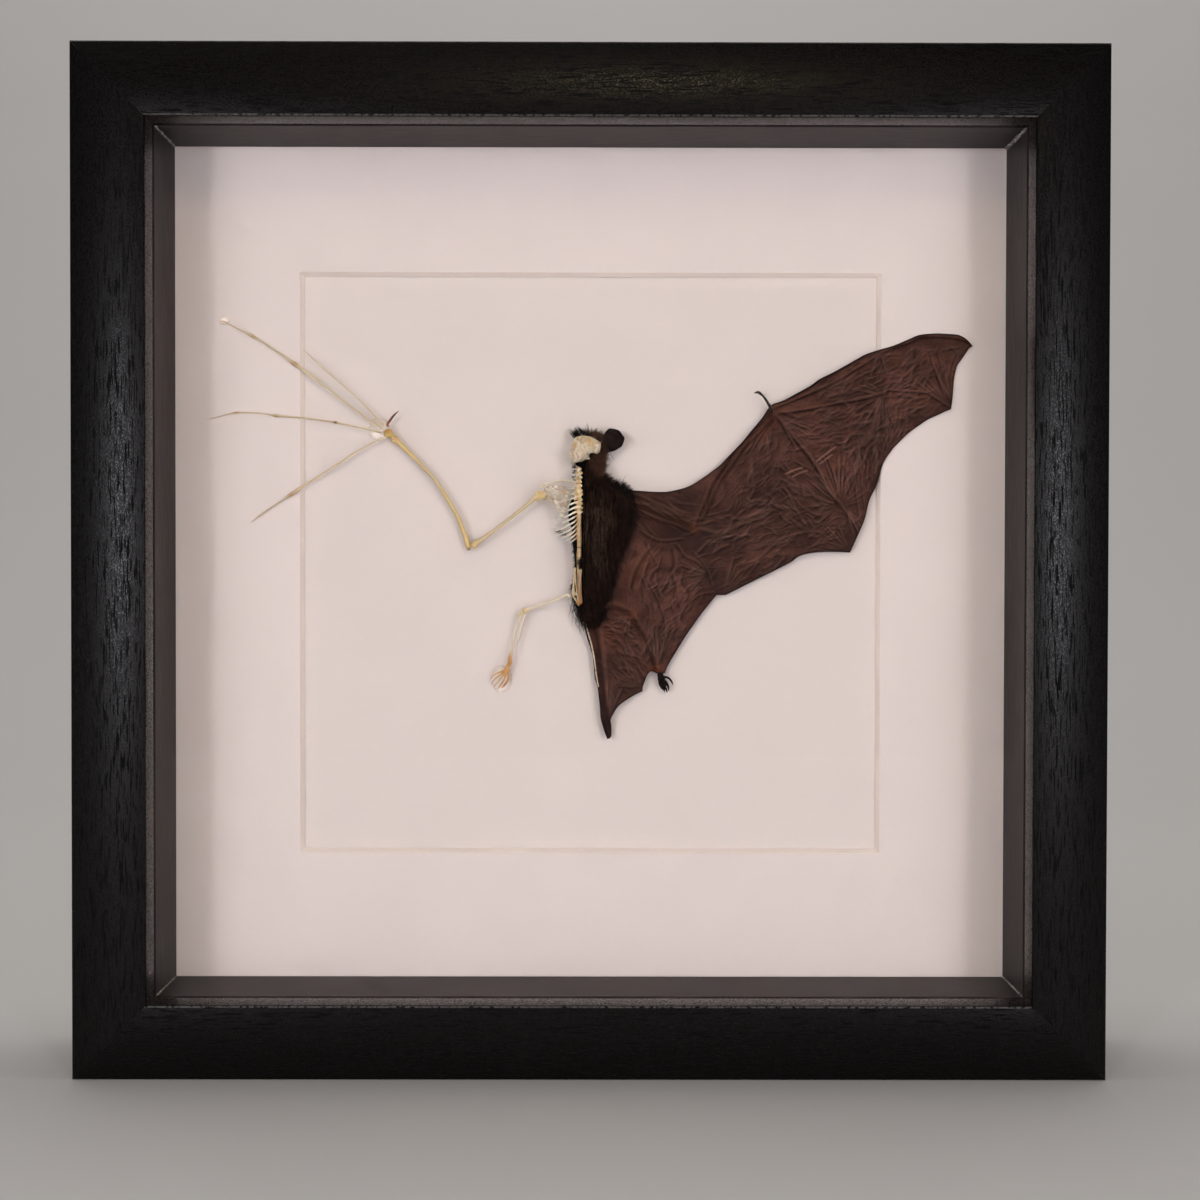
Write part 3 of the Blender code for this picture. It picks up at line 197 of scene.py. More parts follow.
SPINE = [
    (-3.1, 24.0, 4.6), (-3.0, 21.5, 5.6), (-2.9, 17.0, 6.4), (-2.9, 12.5, 6.7), (-2.85, 8.0, 6.8),
    (-2.85, 4.0, 6.4), (-2.95, 0.0, 6.0), (-2.85, -4.0, 5.4), (-2.7, -8.0, 4.6), (-2.6, -10.2, 4.2),
]
ROD_RADIUS = 0.58
RIB_COUNT = 12
RIB_TOP = 19.3
RIB_PITCH = 1.08
RIB_RADIUS = 0.25
RIB_REACH = [4.2, 4.6, 5.0, 5.4, 5.7, 6.0, 6.1, 6.1, 5.8, 5.0, 3.9, 2.6]
# The free ends of the lowest ribs
RIB_TIPS = [
    [(-6.7, 8.9, 1.2, 0.13), (-8.0, 8.7, 1.1, 0.11), (-9.4, 8.5, 1.0, 0.04)],
    [(-6.9, 8.2, 1.2, 0.13), (-8.1, 8.1, 1.1, 0.11), (-9.2, 7.9, 1.0, 0.04)],
    [(-6.6, 7.7, 1.2, 0.13), (-7.7, 7.5, 1.1, 0.1), (-8.7, 7.3, 1.0, 0.04)],
    [(-5.6, 6.9, 1.2, 0.12), (-6.1, 6.2, 1.1, 0.1), (-6.7, 5.2, 1.0, 0.04)],
    [(-5.0, 6.6, 1.2, 0.12), (-5.4, 6.0, 1.1, 0.1), (-5.7, 5.3, 1.0, 0.04)],
]
CORE_RADIUS = 0.34
# Knobs round each chest vertebra: to the side, down, radius
VERTEBRA_KNOBS = [(0.0, 0.0, 0.56), (0.6, 0.1, 0.40), (-0.65, 0.15, 0.38), (-1.05, 0.3, 0.24)]
VERTEBRA_TOP = 24.2
VERTEBRA_PITCH = 1.1
ROD_TOP = 12.2

SKULL_OUTLINE = [
    (-3.85, 32.0), (-3.2, 32.45), (-1.86, 32.6), (-0.23, 32.4), (0.8, 32.0), (1.6, 31.5), (2.5, 30.9),
    (2.65, 30.2), (2.5, 29.0), (2.1, 28.2), (1.4, 27.95), (0.67, 28.2), (-0.15, 28.0), (-0.3, 27.2),
    (-0.15, 26.6), (-1.1, 26.5), (-1.7, 26.3), (-2.4, 25.9), (-3.2, 25.85), (-3.85, 25.6), (-4.6, 25.55),
    (-5.0, 25.9), (-5.15, 26.8), (-5.6, 27.6), (-5.6, 28.3), (-4.9, 28.95), (-4.75, 30.2), (-4.4, 31.3),
]
# Cracks and plates of the skull: depth, width, colour, path; then patches: u, v, reach, colour
SKULL_LINES = [
    (-0.38, 0.16, (0.24, 0.12, 0.05), [(-4.6, 29.1), (-4.2, 28.6), (-3.8, 28.2), (-3.3, 27.4), (-3.0, 26.8)]),
    (-0.22, 0.18, (0.42, 0.27, 0.12), [(-3.4, 31.6), (-2.2, 30.6), (-1.4, 29.4), (-1.6, 28.2), (-2.4, 27.2)]),
    (-0.2, 0.16, (0.46, 0.3, 0.14), [(-0.6, 32.0), (-0.2, 30.8), (-0.5, 29.6), (0.2, 28.6)]),
    (0.16, 0.26, (0.82, 0.75, 0.62), [(-3.0, 30.8), (-2.8, 29.6), (-3.4, 28.8), (-4.4, 28.0)]),
    (-0.18, 0.14, (0.4, 0.26, 0.12), [(1.3, 31.2), (1.2, 30.0), (1.4, 28.6)]),
    (-0.18, 0.14, (0.44, 0.3, 0.14), [(2.0, 30.8), (1.9, 29.8), (2.0, 28.8)]),
    (-0.16, 0.14, (0.46, 0.32, 0.16), [(0.6, 31.5), (0.6, 30.4), (0.8, 29.2)]),
]
SKULL_PATCHES = [
    (-4.1, 30.3, 0.85, (0.52, 0.33, 0.13)), (-0.5, 31.0, 1.0, (0.5, 0.33, 0.14)),
    (0.5, 30.1, 0.9, (0.56, 0.39, 0.18)), (-0.1, 27.5, 0.45, (0.16, 0.05, 0.03)),
    (-2.2, 28.6, 0.8, (0.6, 0.46, 0.28)), (1.7, 29.8, 0.7, (0.78, 0.72, 0.58)),
]
SKULL_MIDDLE_H = 5.4
SKULL_FRONT_RISE = 2.7
SKULL_BACK_RISE = 2.4
SKULL_SCRATCHES = 46
SKULL_COLOUR = (0.62, 0.54, 0.40)
SKULL_ROUNDING = 3.4
WRIST_KNOBS = [
    (-51.85, 33.15, 1.5, 0.85), (-52.2, 33.95, 1.5, 0.62), (-51.3, 33.3, 1.5, 0.72), (-52.6, 32.9, 1.4, 0.6),
    (-52.0, 32.6, 1.7, 0.55), (-52.9, 33.7, 1.4, 0.5), (-51.5, 34.2, 1.5, 0.45), (-51.0, 32.6, 1.5, 0.62),
]
ANKLE_KNOBS = [
    (-20.7, -25.3, 1.4, 0.66), (-21.0, -26.2, 1.4, 0.62), (-21.5, -26.9, 1.4, 0.62),
    (-21.2, -27.6, 1.3, 0.55), (-22.0, -27.8, 1.3, 0.6),
]
BARE_TOES = [
    [(-21.3, -28.0, 1.2, 0.3), (-21.1, -29.8, 1.2, 0.28), (-22.0, -31.3, 1.1, 0.26),
     (-22.9, -32.2, 1.0, 0.12)],
    [(-21.7, -28.4, 1.2, 0.26), (-22.3, -30.2, 1.2, 0.22), (-23.2, -31.6, 1.1, 0.2),
     (-23.9, -32.5, 1.0, 0.1)],
    [(-22.0, -28.4, 1.2, 0.26), (-23.2, -29.9, 1.2, 0.22), (-24.2, -31.0, 1.1, 0.2),
     (-24.8, -32.0, 1.0, 0.1)],
    [(-22.1, -28.1, 1.2, 0.26), (-23.8, -29.2, 1.2, 0.22), (-24.9, -30.2, 1.1, 0.2),
     (-25.4, -31.1, 1.0, 0.1)],
    [(-22.1, -27.7, 1.2, 0.26), (-23.9, -28.3, 1.2, 0.22), (-25.0, -29.1, 1.1, 0.2),
     (-25.7, -30.0, 1.0, 0.1)],
]
FOOT_FIBRE = [
    (-23.4, -33.0, 0.3, 0.04), (-22.6, -34.6, 0.4, 0.04), (-22.2, -36.2, 0.5, 0.03),
    (-21.6, -37.4, 0.6, 0.02),
]
SCAPULA = [
    (-12.0, 18.9), (-11.2, 19.7), (-10.0, 20.0), (-8.4, 19.9), (-6.9, 19.6), (-5.7, 18.7), (-5.1, 17.2),
    (-5.6, 15.1), (-6.3, 13.4), (-7.1, 11.3), (-8.0, 12.6), (-9.3, 14.6), (-10.5, 15.9), (-11.9, 16.6),
]
SCAPULA_H = 6.6
SCAPULA_SLOPE = 0.36
SCAPULA_FRONT = 0.14
SCAPULA_BACK = 0.06
# Ridges of the shoulder blade: height, path
SCAPULA_RIDGES = [
    (0.4, [(-11.4, 17.9), (-8.8, 17.2), (-6.6, 15.4)]), (0.25, [(-11.6, 19.0), (-9.0, 19.4), (-6.2, 18.6)]),
    (0.22, [(-9.8, 15.8), (-8.2, 14.2), (-7.2, 12.0)]), (0.18, [(-8.2, 18.4), (-7.0, 17.2), (-6.0, 16.6)]),
]

# Glue drops: (u, v, lowest h, highest h, radius along u, radius along v)
GLUE_EDGE_HEIGHT = 0.12
GLUE_ROUNDING = 1.1
GLUE_CLEAR = (0.99, 0.985, 0.97)
# The darker ring just inside each drop's edge is painted refraction, the dark arc that a clear drop shows
# there.
GLUE_PAINTED_RING = (0.80, 0.74, 0.67)
GLUE_DROPS = {
    "glue_wrist": (-54.6, 34.6, CARD_H + 0.3, 0.25, 3.0, 3.2),
    "glue_foot": (-23.0, -30.0, CARD_H + 0.3, 0.25, 3.0, 3.6),
    "glue_fingertip": (-94.4, 62.5, 0.3, 0.8, 1.5, 1.2),
}

# Outlines of the preserved half: (u, v) along each edge
WING_LEADING = [
    (10.3, 18.9), (13.0, 18.7), (16.0, 18.5), (19.5, 18.5), (22.0, 18.95), (25.0, 19.8), (28.2, 21.6),
    (32.9, 25.0), (35.0, 27.1), (39.2, 31.5), (41.8, 34.7), (44.2, 37.6), (45.7, 39.9), (46.9, 41.1),
    (48.1, 41.5),
]
WING_HAND = [
    (50.0, 42.2), (51.8, 43.2), (56.5, 45.8), (59.0, 47.6), (63.0, 49.6), (69.0, 53.0), (70.6, 53.9),
    (74.1, 55.1), (77.9, 56.2), (82.0, 57.9), (84.7, 59.0), (89.0, 59.4), (93.6, 59.2), (95.2, 58.9),
    (96.9, 57.9), (98.4, 56.2),
]
WING_TIP_EDGE = [
    (97.5, 55.6), (96.05, 53.4), (94.7, 51.5), (94.2, 50.3), (93.6, 47.3), (93.3, 43.0), (92.9, 39.9),
]
WING_SCALLOP_4 = [
    (91.4, 39.3), (89.5, 38.4), (87.1, 37.3), (84.7, 35.7), (82.2, 33.9), (80.6, 32.4), (79.0, 30.8),
    (77.6, 29.2), (75.5, 25.9), (73.8, 20.4), (72.0, 16.5), (70.9, 12.0), (69.6, 8.6), (67.0, 2.9),
]
WING_SCALLOP_5 = [
    (64.3, 3.05), (60.1, 3.05), (56.4, 2.65), (53.8, 1.87), (52.0, 0.55), (49.1, -1.0), (44.9, -3.1),
    (40.9, -5.1), (35.0, -8.1),
]
WING_TO_ANKLE = [(32.6, -8.1), (29.1, -12.4), (25.0, -18.2), (22.2, -22.7), (20.3, -25.9), (19.3, -28.3)]
CALCAR_GAP = [
    (17.4, -28.5), (16.6, -28.1), (15.8, -27.85), (15.3, -28.1), (14.6, -29.1), (14.1, -30.4), (13.6, -31.8),
]
TAIL_MEMBRANE_EDGE = [
    (13.5, -33.0), (11.9, -33.7), (9.4, -35.2), (7.2, -36.9), (5.9, -39.0), (5.3, -40.4), (5.5, -42.0),
    (5.5, -44.3), (5.1, -45.1),
]
TAIL_EDGE = [
    (4.45, -45.3), (3.8, -43.7), (3.2, -41.8), (2.7, -39.8), (2.5, -37.0), (2.2, -34.5), (1.9, -32.1),
    (1.2, -29.6), (0.9, -26.6), (0.6, -24.0), (0.0, -21.4), (-0.7, -19.7), (-1.7, -15.6),
]
TAIL_THREAD = [
    (-1.65, -15.4), (-1.2, -17.2), (-0.55, -19.4), (0.05, -21.6), (0.55, -24.2), (0.9, -26.8), (1.25, -29.4),
    (1.75, -31.8),
]
TAIL_THREAD_PIECES = [(0, 3), (3, 5), (5, 7)]
TAIL_THREAD_SHIFT = 0.42
TAIL_THREAD_H = 1.62
TAIL_THREAD_RADIUS = 0.19
UNDER_BODY = [(0.4, -13.0), (1.0, -6.0), (2.0, 2.0), (4.0, 10.0), (6.0, 16.5)]

# Limbs, folds and vessels in the skin: height, half width, darkness, and the (u, v) points of each line. The
# darkness is the limbs' and vessels' own colour and painted shade along the folds; a negative darkness makes a
# pale line, a painted highlight with painted shade on its side away from the light.
SKIN_LINES = [
    (0.95, 0.75, 0.3, [(11.5, 15.4), (15.0, 13.9), (19.0, 12.4), (23.0, 10.7), (27.2, 8.9)]),
    (0.45, 0.45, 0.55, [(13.0, 13.0), (18.0, 10.9), (22.0, 9.6), (26.6, 7.9)]),
    (0.35, 0.5, 0.35, [(15.5, 17.0), (20.0, 14.6), (24.0, 12.2), (27.2, 10.6)]),
    (0.95, 0.5, 0.75, [(27.2, 9.6), (29.5, 15.0), (31.6, 20.0), (34.2, 24.4), (38.2, 30.3), (42.4, 34.8),
                       (46.0, 38.6)]),
    (0.8, 0.42, 0.45, [(28.6, 10.6), (31.0, 16.0), (33.2, 20.6), (36.0, 24.9), (39.9, 30.2), (43.6, 33.8),
                       (46.8, 37.0)]),
    (0.55, 0.5, 0.95, [(47.6, 37.6), (50.0, 35.0), (53.1, 31.0), (56.5, 26.8), (59.1, 22.6), (61.0, 18.7),
                       (64.4, 14.8)]),
    (0.45, 0.36, 0.7, [(64.4, 14.8), (66.8, 11.4), (68.7, 7.9), (67.6, 3.9)]),
    (0.5, 0.4, 0.95, [(48.4, 38.6), (51.8, 38.9), (59.7, 40.2), (63.6, 41.0), (69.8, 42.1), (75.6, 43.8)]),
    (0.4, 0.34, 0.9, [(75.6, 43.8), (76.8, 44.5), (79.5, 44.3), (83.3, 44.1), (86.8, 43.8)]),
    (0.36, 0.32, 0.75, [(86.8, 43.8), (88.7, 42.6), (90.9, 41.1), (92.4, 40.2)]),
    (0.5, 0.36, 0.9, [(47.5, 40.0), (50.5, 41.1), (54.4, 42.7), (59.6, 45.0), (64.4, 47.3), (69.0, 50.3),
                      (74.3, 53.5)]),
    (0.45, 0.34, 0.85, [(48.2, 41.2), (54.0, 44.0), (60.0, 47.4), (66.0, 50.8), (71.0, 53.5)]),
    (0.42, 0.34, 0.8, [(74.3, 53.5), (77.9, 55.4), (82.0, 56.8), (84.7, 58.1), (90.0, 58.3), (95.5, 57.6),
                       (97.8, 56.4)]),
    (0.9, 0.7, 0.6, [(3.5, -11.6), (5.6, -11.2), (8.0, -11.9), (10.6, -13.2)]),
    (0.9, 0.55, 0.55, [(10.6, -13.4), (11.9, -15.4), (12.9, -17.3), (14.0, -19.2), (15.1, -21.6),
                       (15.9, -24.1), (16.7, -27.6)]),
    (0.9, 0.85, 0.7, [(1.2, -16.5), (2.0, -21.0), (2.6, -28.0), (3.3, -34.0), (4.1, -40.0), (4.7, -44.6)]),
    (0.25, 0.3, 0.65, [(14.0, -3.4), (15.2, -5.8), (16.9, -8.7), (18.1, -12.0), (18.9, -14.6),
                       (19.0, -18.0), (19.3, -19.7)]),
    (0.2, 0.28, 0.55, [(19.3, -19.7), (18.9, -22.6), (18.4, -25.8)]),
    (0.2, 0.3, 0.6, [(19.9, -15.3), (23.1, -13.2), (24.9, -11.4), (27.9, -8.5), (32.0, -7.6)]),
    (0.55, 0.7, 0.6, [(11.2, 17.3), (15.0, 15.4), (19.4, 13.4), (24.0, 11.6)]),
    (0.3, 0.34, 0.65, [(12.6, 8.6), (15.4, 6.6), (19.0, 5.6), (24.0, 6.2)]),
    (0.35, 0.5, 0.55, [(16.0, 4.4), (13.6, 1.2), (11.6, -2.4), (10.6, -6.4)]),
    (0.35, 0.55, 0.5, [(20.8, 3.8), (21.4, 0.4), (20.6, -2.4), (21.8, -5.6), (21.4, -9.0)]),
    (0.3, 0.45, 0.5, [(24.6, -1.6), (23.6, -4.8), (25.4, -7.6), (24.2, -11.0)]),
    (0.25, 0.3, 0.45, [(22.3, -7.0), (22.4, -9.9), (23.1, -11.7)]),
    (0.25, 0.35, 0.55, [(22.0, 4.8), (23.1, 3.4), (24.3, 1.6), (27.0, 0.4), (29.0, -1.4)]),
    (0.25, 0.3, 0.45, [(26.0, 3.0), (28.4, 0.6), (30.5, -3.0), (31.0, -5.4)]),
    (0.25, 0.3, 0.5, [(14.2, 5.4), (15.4, 2.4), (17.0, -0.6)]),
    (0.22, 0.3, 0.45, [(18.0, 4.6), (15.6, 2.0), (14.0, -3.0)]),
    (0.28, 0.34, 0.7, [(37.8, -3.0), (42.5, 0.0), (47.0, 4.0), (50.7, 6.5), (54.6, 7.6), (58.5, 8.3)]),
    (0.24, 0.3, 0.6, [(38.4, -4.6), (41.0, -3.0), (44.0, 0.6), (46.0, 1.8)]),
    (0.24, 0.3, 0.55, [(50.1, 11.2), (53.6, 12.6), (57.5, 13.9)]),
    (0.3, 0.22, -0.75, [(50.2, 23.1), (52.6, 24.2), (54.7, 24.8)]),
    (0.28, 0.2, -0.65, [(51.8, 22.3), (54.0, 23.4), (56.0, 24.0)]),
    (0.32, 0.22, -0.8, [(58.1, 26.3), (59.7, 27.6), (61.6, 29.0), (63.3, 30.2)]),
    (0.26, 0.2, -0.65, [(58.9, 25.6), (60.6, 26.9), (62.4, 28.2)]),
    (0.24, 0.28, 0.8, [(92.2, 56.0), (94.2, 54.0), (93.1, 51.4), (92.5, 47.6), (92.4, 43.2)]),
    (0.22, 0.26, 0.55, [(87.0, 52.6), (89.2, 49.0), (90.4, 46.0), (91.8, 43.6)]),
    (0.25, 0.34, 0.65, [(74.3, 53.5), (73.4, 50.6), (72.6, 48.4)]),
    (0.25, 0.34, 0.6, [(74.5, 53.4), (74.9, 51.6), (75.6, 49.8)]),
    (0.22, 0.28, 0.5, [(74.3, 53.4), (71.4, 51.6), (69.6, 50.6)]),
    (0.22, 0.28, 0.55, [(74.4, 53.6), (76.8, 53.5), (79.4, 53.7)]),
    (0.15, 1.1, 0.55, [(76.0, 43.4), (75.5, 38.5), (74.2, 34.4), (70.6, 29.8), (67.0, 26.2)]),
    (0.2, 0.6, 0.7, [(28.0, 8.4), (33.0, 7.4), (38.5, 9.6), (44.0, 13.0)]),
    (0.3, 0.26, 0.75, [(67.4, 27.4), (67.9, 22.0), (68.5, 16.6), (69.2, 11.8)]),
    (0.3, 0.24, 0.65, [(69.3, 27.4), (69.6, 22.4), (70.1, 17.6), (70.5, 13.8)]),
    (0.28, 0.24, 0.6, [(71.2, 27.0), (71.0, 22.6), (71.2, 19.2)]),
    (0.3, 0.24, 0.65, [(65.6, 25.6), (65.9, 21.4), (66.6, 17.6)]),
    (0.28, 0.3, 0.7, [(93.0, 41.2), (90.6, 45.6), (88.4, 50.2), (87.0, 54.6)]),
    (0.28, 0.26, 0.6, [(92.8, 42.6), (91.2, 47.2), (89.8, 52.0), (89.2, 55.4)]),
    (0.24, 0.24, 0.55, [(92.6, 44.0), (92.0, 48.6), (91.6, 53.0)]),
    (0.26, 0.26, 0.6, [(85.4, 44.4), (80.6, 46.2), (77.4, 46.4), (72.6, 44.8)]),
]

# Folds that spread from a point: (u, v), angles from and to in degrees, how many, reach from and to, height
SKIN_FANS = [
    ((64.4, 14.8), 118, 166, 11, 3.0, 13.5, 0.26),
    ((64.6, 15.4), 62, 112, 12, 2.6, 15.5, 0.24),
    ((64.0, 14.6), 172, 222, 8, 2.4, 8.5, 0.2),
    ((66.0, 14.0), 278, 318, 9, 0.8, 7.2, 0.22),
    ((65.0, 14.6), 20, 60, 6, 1.5, 8.0, 0.2),
    ((75.6, 43.8), 150, 215, 9, 1.8, 8.5, 0.2),
    ((76.4, 44.0), -12, 40, 9, 2.0, 10.5, 0.2),
    ((75.4, 43.4), 236, 290, 7, 1.6, 9.0, 0.18),
    ((92.6, 40.6), 98, 152, 9, 2.0, 11.5, 0.2),
    ((97.0, 56.4), 186, 236, 7, 2.0, 8.0, 0.18),
    ((30.6, -3.0), 150, 215, 10, 1.5, 9.5, 0.26),
    ((47.4, 37.6), 196, 262, 8, 2.0, 12.0, 0.18),
    ((47.8, 37.8), 305, 350, 7, 2.0, 12.0, 0.16),
    ((10.6, -13.4), 196, 262, 9, 1.4, 6.2, 0.3),
    ((17.0, -27.6), 70, 112, 8, 1.8, 11.5, 0.22),
    ((13.4, -32.4), 112, 172, 8, 1.4, 9.5, 0.24),
    ((5.0, -39.5), 62, 96, 6, 2.0, 9.5, 0.2),
    ((66.8, 3.2), 118, 172, 8, 1.6, 9.5, 0.2),
    ((34.4, -7.8), 12, 78, 9, 1.6, 10.5, 0.24),
]

# Small wrinkles: middle (u, v), reach, direction in degrees, how many, length, height
SKIN_WRINKLES = [
    ((18.0, -2.0), 7.5, 60, 34, 4.4, 0.24),
    ((24.0, -8.0), 6.0, 40, 30, 4.0, 0.2),
    ((13.5, -8.0), 4.5, 100, 20, 3.6, 0.2),
    ((20.0, 14.5), 5.5, -26, 30, 6.0, 0.18),
    ((34.0, 6.0), 8.5, 22, 70, 4.2, 0.15),
    ((44.0, 12.0), 9.0, 28, 90, 4.4, 0.15),
    ((43.0, 24.0), 8.0, 58, 70, 4.0, 0.15),
    ((53.0, 17.0), 8.0, 146, 80, 4.0, 0.16),
    ((57.0, 33.0), 8.5, 12, 70, 4.0, 0.14),
    ((67.0, 34.0), 8.5, 20, 80, 4.2, 0.15),
    ((70.0, 24.0), 7.0, 78, 80, 4.0, 0.17),
    ((62.0, 44.0), 6.0, 24, 40, 4.2, 0.13),
    ((74.0, 48.0), 6.5, 30, 60, 3.2, 0.16),
    ((84.0, 50.0), 7.0, 38, 80, 3.4, 0.17),
    ((84.0, 40.0), 6.0, 20, 60, 3.2, 0.15),
    ((77.0, 36.0), 6.5, 66, 60, 3.4, 0.15),
    ((60.0, 8.0), 7.5, 20, 60, 3.6, 0.15),
    ((46.0, 2.0), 7.0, 28, 60, 3.8, 0.16),
    ((8.0, -17.0), 4.6, -12, 50, 2.8, 0.24),
    ((9.5, -26.0), 5.5, -42, 60, 3.0, 0.22),
    ((16.5, -20.0), 3.8, 74, 36, 3.2, 0.2),
    ((22.0, -18.0), 4.5, 56, 40, 3.2, 0.18),
]

# Large patches of colour in the skin: (u, v), reach, how much darker, how much warmer. A negative darkness
# lightens the skin there, a painted sheen.
SKIN_PATCHES = [
    ((31.0, 6.5), 6.5, 0.45, 0.0), ((39.0, 11.0), 8.0, 0.4, 0.0), ((47.0, 20.0), 7.0, 0.34, 0.0),
    ((52.0, 11.0), 8.0, 0.22, 0.0), ((30.5, -3.2), 3.2, 0.55, 0.0), ((64.6, 14.8), 2.4, 0.5, 0.0),
    ((75.6, 43.8), 1.4, 0.6, 0.0), ((74.3, 53.5), 1.4, 0.55, 0.0), ((48.0, 38.4), 2.2, 0.45, 0.3),
    ((24.5, 15.5), 4.0, 0.3, 0.0), ((12.0, 10.0), 5.0, 0.3, 0.15), ((18.0, 15.5), 6.0, 0.42, 0.1),
    ((19.5, 11.0), 5.0, 0.35, 0.2), ((27.0, 9.2), 1.3, 0.0, 1.6), ((43.5, 34.8), 2.6, 0.0, 0.6),
    ((10.6, -13.6), 1.3, 0.0, 1.2), ((16.9, -27.4), 1.6, 0.0, 1.0), ((5.5, -18.0), 2.6, 0.15, 0.6),
    ((21.5, 6.8), 3.6, 0.55, 0.0), ((27.5, 5.6), 3.6, 0.5, 0.0), ((15.2, 0.8), 2.6, -0.25, 0.1),
    ((6.0, -12.5), 3.5, 0.4, 0.25), ((4.2, -40.0), 5.0, 0.55, 0.0), ((2.4, -30.0), 3.0, 0.5, 0.0),
    ((8.0, -25.0), 6.0, 0.22, 0.0), ((10.0, -3.0), 4.0, 0.3, 0.35), ((73.0, 33.0), 3.5, 0.4, 0.0),
    ((69.5, 29.0), 3.5, 0.35, 0.0), ((56.0, 6.0), 4.0, 0.2, 0.0), ((86.0, 49.0), 8.0, -0.12, 0.1),
    ((66.0, 25.0), 6.0, -0.15, 0.1), ((57.0, 36.0), 7.0, -0.08, 0.0),
]
SKIN_SPACING = 0.23
SKIN_BACK_SPACING = 0.9
SKIN_THICKNESS = 0.16
SKIN_LIFT = 0.42
SKIN_LOWEST_FRONT = 0.45
SKIN_HIGHEST_BACK = 0.6
SKIN_RIM_BACK = 0.40
SKIN_RIM_SHADE = 0.36
SKIN_BODY_SHADE = 2.7
FOLD_REACH = 3.5

# The furred torso: its right margin, neck, head, and the shelf of skin left of the cut
BODY_SIDE = [
    (2.4, -12.2), (2.9, -9.9), (3.4, -8.0), (4.2, -5.0), (5.1, -2.0), (6.0, 1.0), (7.1, 4.0), (8.2, 7.0),
    (9.1, 10.0), (9.8, 13.0), (10.0, 16.0), (9.4, 18.6),
]
BODY_NECK = [(7.2, 19.9), (4.9, 21.2), (3.3, 22.8), (2.9, 24.5), (3.3, 26.2), (3.2, 28.0)]
BODY_HEAD = [
    (2.9, 30.0), (2.6, 31.6), (1.6, 32.2), (0.3, 32.6), (-1.8, 32.7), (-3.0, 32.3), (-3.6, 31.6),
    (-3.9, 30.4), (-4.2, 28.0), (-4.0, 25.6), (-2.7, 24.9),
]
BODY_CUT = -1.75
UNDER_SPINE = [
    (-2.5, 24.2), (-2.5, 21.0), (-2.8, 18.8), (-4.4, 17.2), (-5.3, 15.4), (-5.7, 13.0), (-5.6, 10.8),
]
BODY_SHELF = [
    (-5.0, 9.4), (-4.7, 7.6), (-4.5, 4.6), (-4.2, 2.0), (-4.0, -0.6), (-4.2, -4.0), (-5.0, -5.8),
    (-4.9, -6.8), (-4.3, -9.0), (-3.0, -10.8), (-3.3, -12.2), (-2.0, -14.8),
]
BODY_RUMP = [(0.2, -14.6), (1.8, -13.6)]
BODY_CREST = [
    (-15.0, 2.2), (-10.0, 5.0), (-4.0, 6.6), (2.0, 7.4), (9.0, 8.2), (15.0, 7.8), (19.0, 6.8), (22.0, 5.4),
    (23.6, 4.2), (24.9, 2.4), (36.0, 2.4),
]
FUR_REGION = [
    (-1.7, -13.0), (0.8, -14.0), (2.0, -11.8), (3.0, -7.4), (4.8, -1.6), (6.8, 4.4), (8.8, 10.6),
    (9.8, 16.2), (8.6, 18.8), (4.4, 21.0), (2.8, 23.4), (2.6, 27.4), (0.6, 28.0), (-1.6, 25.4), (-1.7, 12.0),
    (-1.7, 0.0),
]
# Where the tips of the fur are tan: (u, v, reach)
TAN_SPOTS = [
    (-0.5, 12.3, 0.9), (3.4, 11.2, 1.5), (5.4, 10.1, 1.3), (-1.2, 20.2, 1.0), (1.5, 26.6, 1.6),
    (2.2, 24.4, 0.9), (0.4, 24.8, 0.7),
]
BODY_SHELF_HEIGHT = 1.2
BODY_EDGE_HEIGHT = 1.6
BODY_ROUNDING = 8.5
BODY_INSET = 0.35
TORSO_SPACING = 0.5
FUR_DENSITY = 27.0
FUR_LENGTH = (1.9, 3.6)
FUR_LOCK = 1.15
FUR_PULL = 0.6
FUR_RADIUS = (0.05, 0.10)
FRINGE_LOCK = 0.8
FRINGE_PULL = 0.55
# A hair's rings: place along it and share of its radius
HAIR_RINGS = [(0.0, 1.0), (0.4, 0.85), (0.75, 0.5)]

EAR = [
    (3.3, 28.6), (4.0, 28.3), (5.0, 28.6), (6.3, 28.95), (7.4, 29.6), (8.0, 30.0), (8.55, 31.2), (8.7, 32.2),
    (8.2, 32.9), (7.5, 33.9), (6.5, 34.4), (4.9, 34.65), (4.2, 34.2), (3.6, 33.5), (3.1, 32.6), (3.0, 30.6),
]
EAR_ROOT_H = 2.35
EAR_SLOPE = 0.25
EAR_THICKNESS = 0.62
FOOT_KNOBS = [
    (18.1, -28.8, 1.3, 0.85), (18.35, -29.7, 1.3, 1.0), (18.7, -30.5, 1.2, 0.95), (18.9, -31.2, 1.2, 0.8),
]
FURRED_TOES = [
    [(18.9, -29.2, 1.3, 0.3), (20.2, -29.5, 1.3, 0.28), (21.0, -30.4, 1.2, 0.26), (21.4, -31.4, 1.0, 0.08)],
    [(19.0, -30.0, 1.2, 0.36), (19.8, -31.0, 1.2, 0.34), (20.2, -32.0, 1.1, 0.28), (20.3, -32.9, 0.9, 0.08)],
    [(18.7, -30.4, 1.2, 0.36), (19.2, -31.6, 1.2, 0.34), (19.7, -32.6, 1.1, 0.28), (19.9, -33.4, 0.9, 0.08)],
    [(18.3, -30.4, 1.2, 0.36), (18.6, -31.5, 1.2, 0.32), (19.0, -32.5, 1.1, 0.26), (19.3, -33.3, 0.9, 0.08)],
    [(17.9, -30.0, 1.2, 0.34), (17.9, -31.0, 1.2, 0.3), (18.3, -31.9, 1.1, 0.24), (18.6, -32.6, 0.9, 0.08)],
]
